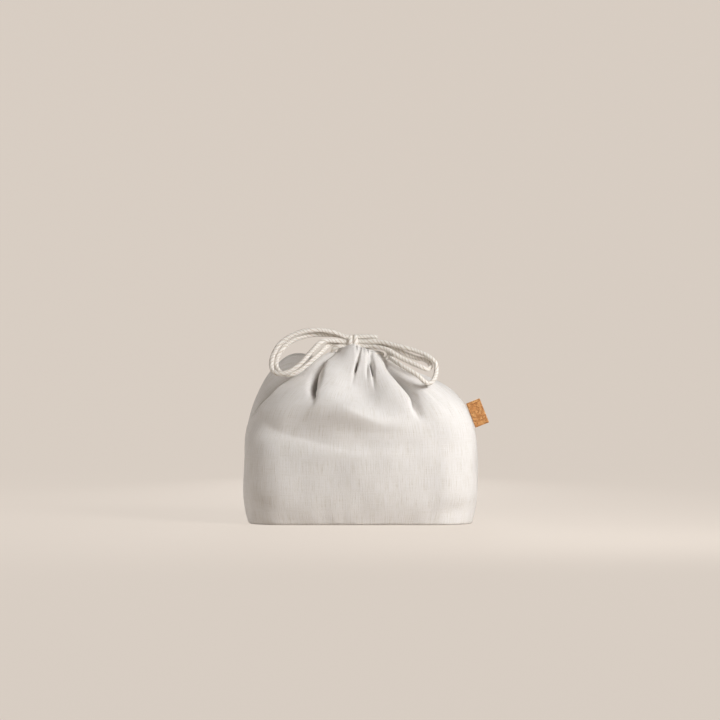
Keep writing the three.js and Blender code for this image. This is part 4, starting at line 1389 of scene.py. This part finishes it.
@dataclass
class Studio:
    """A pale floor that turns up into a backdrop, soft light from the right and the camera."""

    backdrop: str = "#f4e9de"  # the tone that the camera sees
    paper: str = "#cfc5ba"  # the tone that lights the bag from below
    even: float = 0.7  # how much of the backdrop's tone is the same wherever light falls
    floor_side: float = 3.0  # how far it goes to the front and the sides, and up
    floor_back: float = 0.9  # where it starts to turn up
    floor_turn: float = 0.7  # radius of the turn
    room: str = "#fff2e4"  # the tone of the light from all round
    walls: float = 0.40  # light from the walls of the room
    ceiling: float = 0.14  # light from straight above
    beyond: str = "#dbd1c6"  # the tone that the camera sees past the backdrop
    camera_place: Place = (-0.4 * MM, -2.268, 140.7 * MM)
    lens: float = 130.35  # mm
    # each lamp: where it is, what it is aimed at, its side, its power and how wide it spreads in degrees
    lamps = (
        ("key", (0.46, -0.45, 0.39), (0.0, 0.0, 0.08), 0.28, 1.06, 90),
        ("rim", (-2.50, 0.40, 0.45), (-0.1, 0.0, 0.08), 0.60, 1.16, 50),
        ("back", (0.0, 0.88, 0.20), (0.0, 0.05, 0.08), 0.30, 0.55, 90),
    )

    def seen(self, tree: Tree) -> Node:
        """Tells apart the rays by which the backdrop is seen: straight on, mirrored or through glass.

        Args:
            tree: The node tree to add to.

        Returns:
            A node that gives 1 for those rays.
        """
        path = add_node(tree, "LightPath").outputs
        total = path["Is Camera Ray"]
        for ray in ("Is Glossy Ray", "Is Transmission Ray"):
            total = add_node(tree, "Math", {0: total, 1: path[ray]}, operation="MAXIMUM")
        return total

    def build(self) -> None:
        """Builds the floor, the lamps, the light of the room and the camera."""
        self.build_floor()
        self.build_lamps()
        self.build_room()
        self.build_camera()

    def build_floor(self) -> None:
        """Makes the floor and its backdrop in one sweep."""
        side, back, radius = self.floor_side, self.floor_back, self.floor_turn
        turn = np.linspace(0, math.pi / 2, 20)
        y = np.concatenate([[-side, -1.0, 0.0], back + radius * np.sin(turn), [back + radius]])
        z = np.concatenate([[0.0, 0.0, 0.0], radius * (1 - np.cos(turn)), [side]])
        grid = np.stack([np.stack([np.full_like(y, x), y, z], -1) for x in (-side, side)], 1)
        floor = make_piece("floor", grid, [face[::-1] for face in grid_faces(len(y), 2)])
        paper = bpy.data.materials.new("matt_paper")
        paper.use_nodes = True
        tree = paper.node_tree
        shader = tree.nodes["Principled BSDF"]
        feed(tree, shader, {"Base Color": linear(self.paper), "Roughness": 0.9})
        glow = add_node(tree, "Emission", {"Color": linear(self.backdrop)})
        share = add_node(tree, "Math", {0: self.seen(tree), 1: self.even}, operation="MULTIPLY")
        mixed = add_node(tree, "MixShader", {0: share, 1: shader, 2: glow})
        feed(tree, tree.nodes["Material Output"], {"Surface": mixed})
        floor.data.materials.append(paper)

    def build_lamps(self) -> None:
        """Hangs the lamps."""
        for name, place, aim, side, power, spread in self.lamps:
            lamp = bpy.data.lights.new(name, "AREA")
            lamp.shape = "SQUARE"
            lamp.size = side
            lamp.energy = power
            lamp.spread = math.radians(spread)
            holder = bpy.data.objects.new(name, lamp)
            holder.location = place
            holder.visible_camera = False
            holder.rotation_euler = (Vector(aim) - Vector(place)).to_track_quat("-Z", "Y").to_euler()
            bpy.context.scene.collection.objects.link(holder)

    def build_room(self) -> None:
        """Sets the light from all round, stronger from the walls than from above."""
        world = bpy.data.worlds.new("studio")
        world.use_nodes = True
        tree = world.node_tree
        room = tree.nodes["Background"]
        aim = add_node(tree, "TexCoord").outputs["Generated"]
        up = add_node(tree, "SeparateXYZ", {0: aim}).outputs["Z"]
        fall = {"Value": up, "To Min": self.walls, "To Max": self.ceiling}
        feed(tree, room, {"Color": linear(self.room), "Strength": add_node(tree, "MapRange", fall)})
        beyond = add_node(tree, "Background", {"Color": linear(self.beyond)})
        mixed = add_node(tree, "MixShader", {0: self.seen(tree), 1: room, 2: beyond})
        feed(tree, tree.nodes["World Output"], {"Surface": mixed})
        bpy.context.scene.world = world

    def build_camera(self) -> None:
        """Sets up the camera: level, from the front, with a long lens."""
        scene = bpy.context.scene
        data = bpy.data.cameras.new("camera")
        data.lens = self.lens
        data.sensor_width = 36.0
        data.clip_end = 20.0
        camera = bpy.data.objects.new("camera", data)
        camera.location = self.camera_place
        camera.rotation_euler = (math.pi / 2, 0, 0)
        scene.collection.objects.link(camera)
        scene.camera = camera
        scene.view_settings.view_transform = "Standard"


def main() -> None:
    """Builds the studio and the bag."""
    Studio().build()
    cloth = BagCloth()
    Bow(cloth).build()
    cloth.build()
    CorkTag().build()


if __name__ == "__main__":
    main()
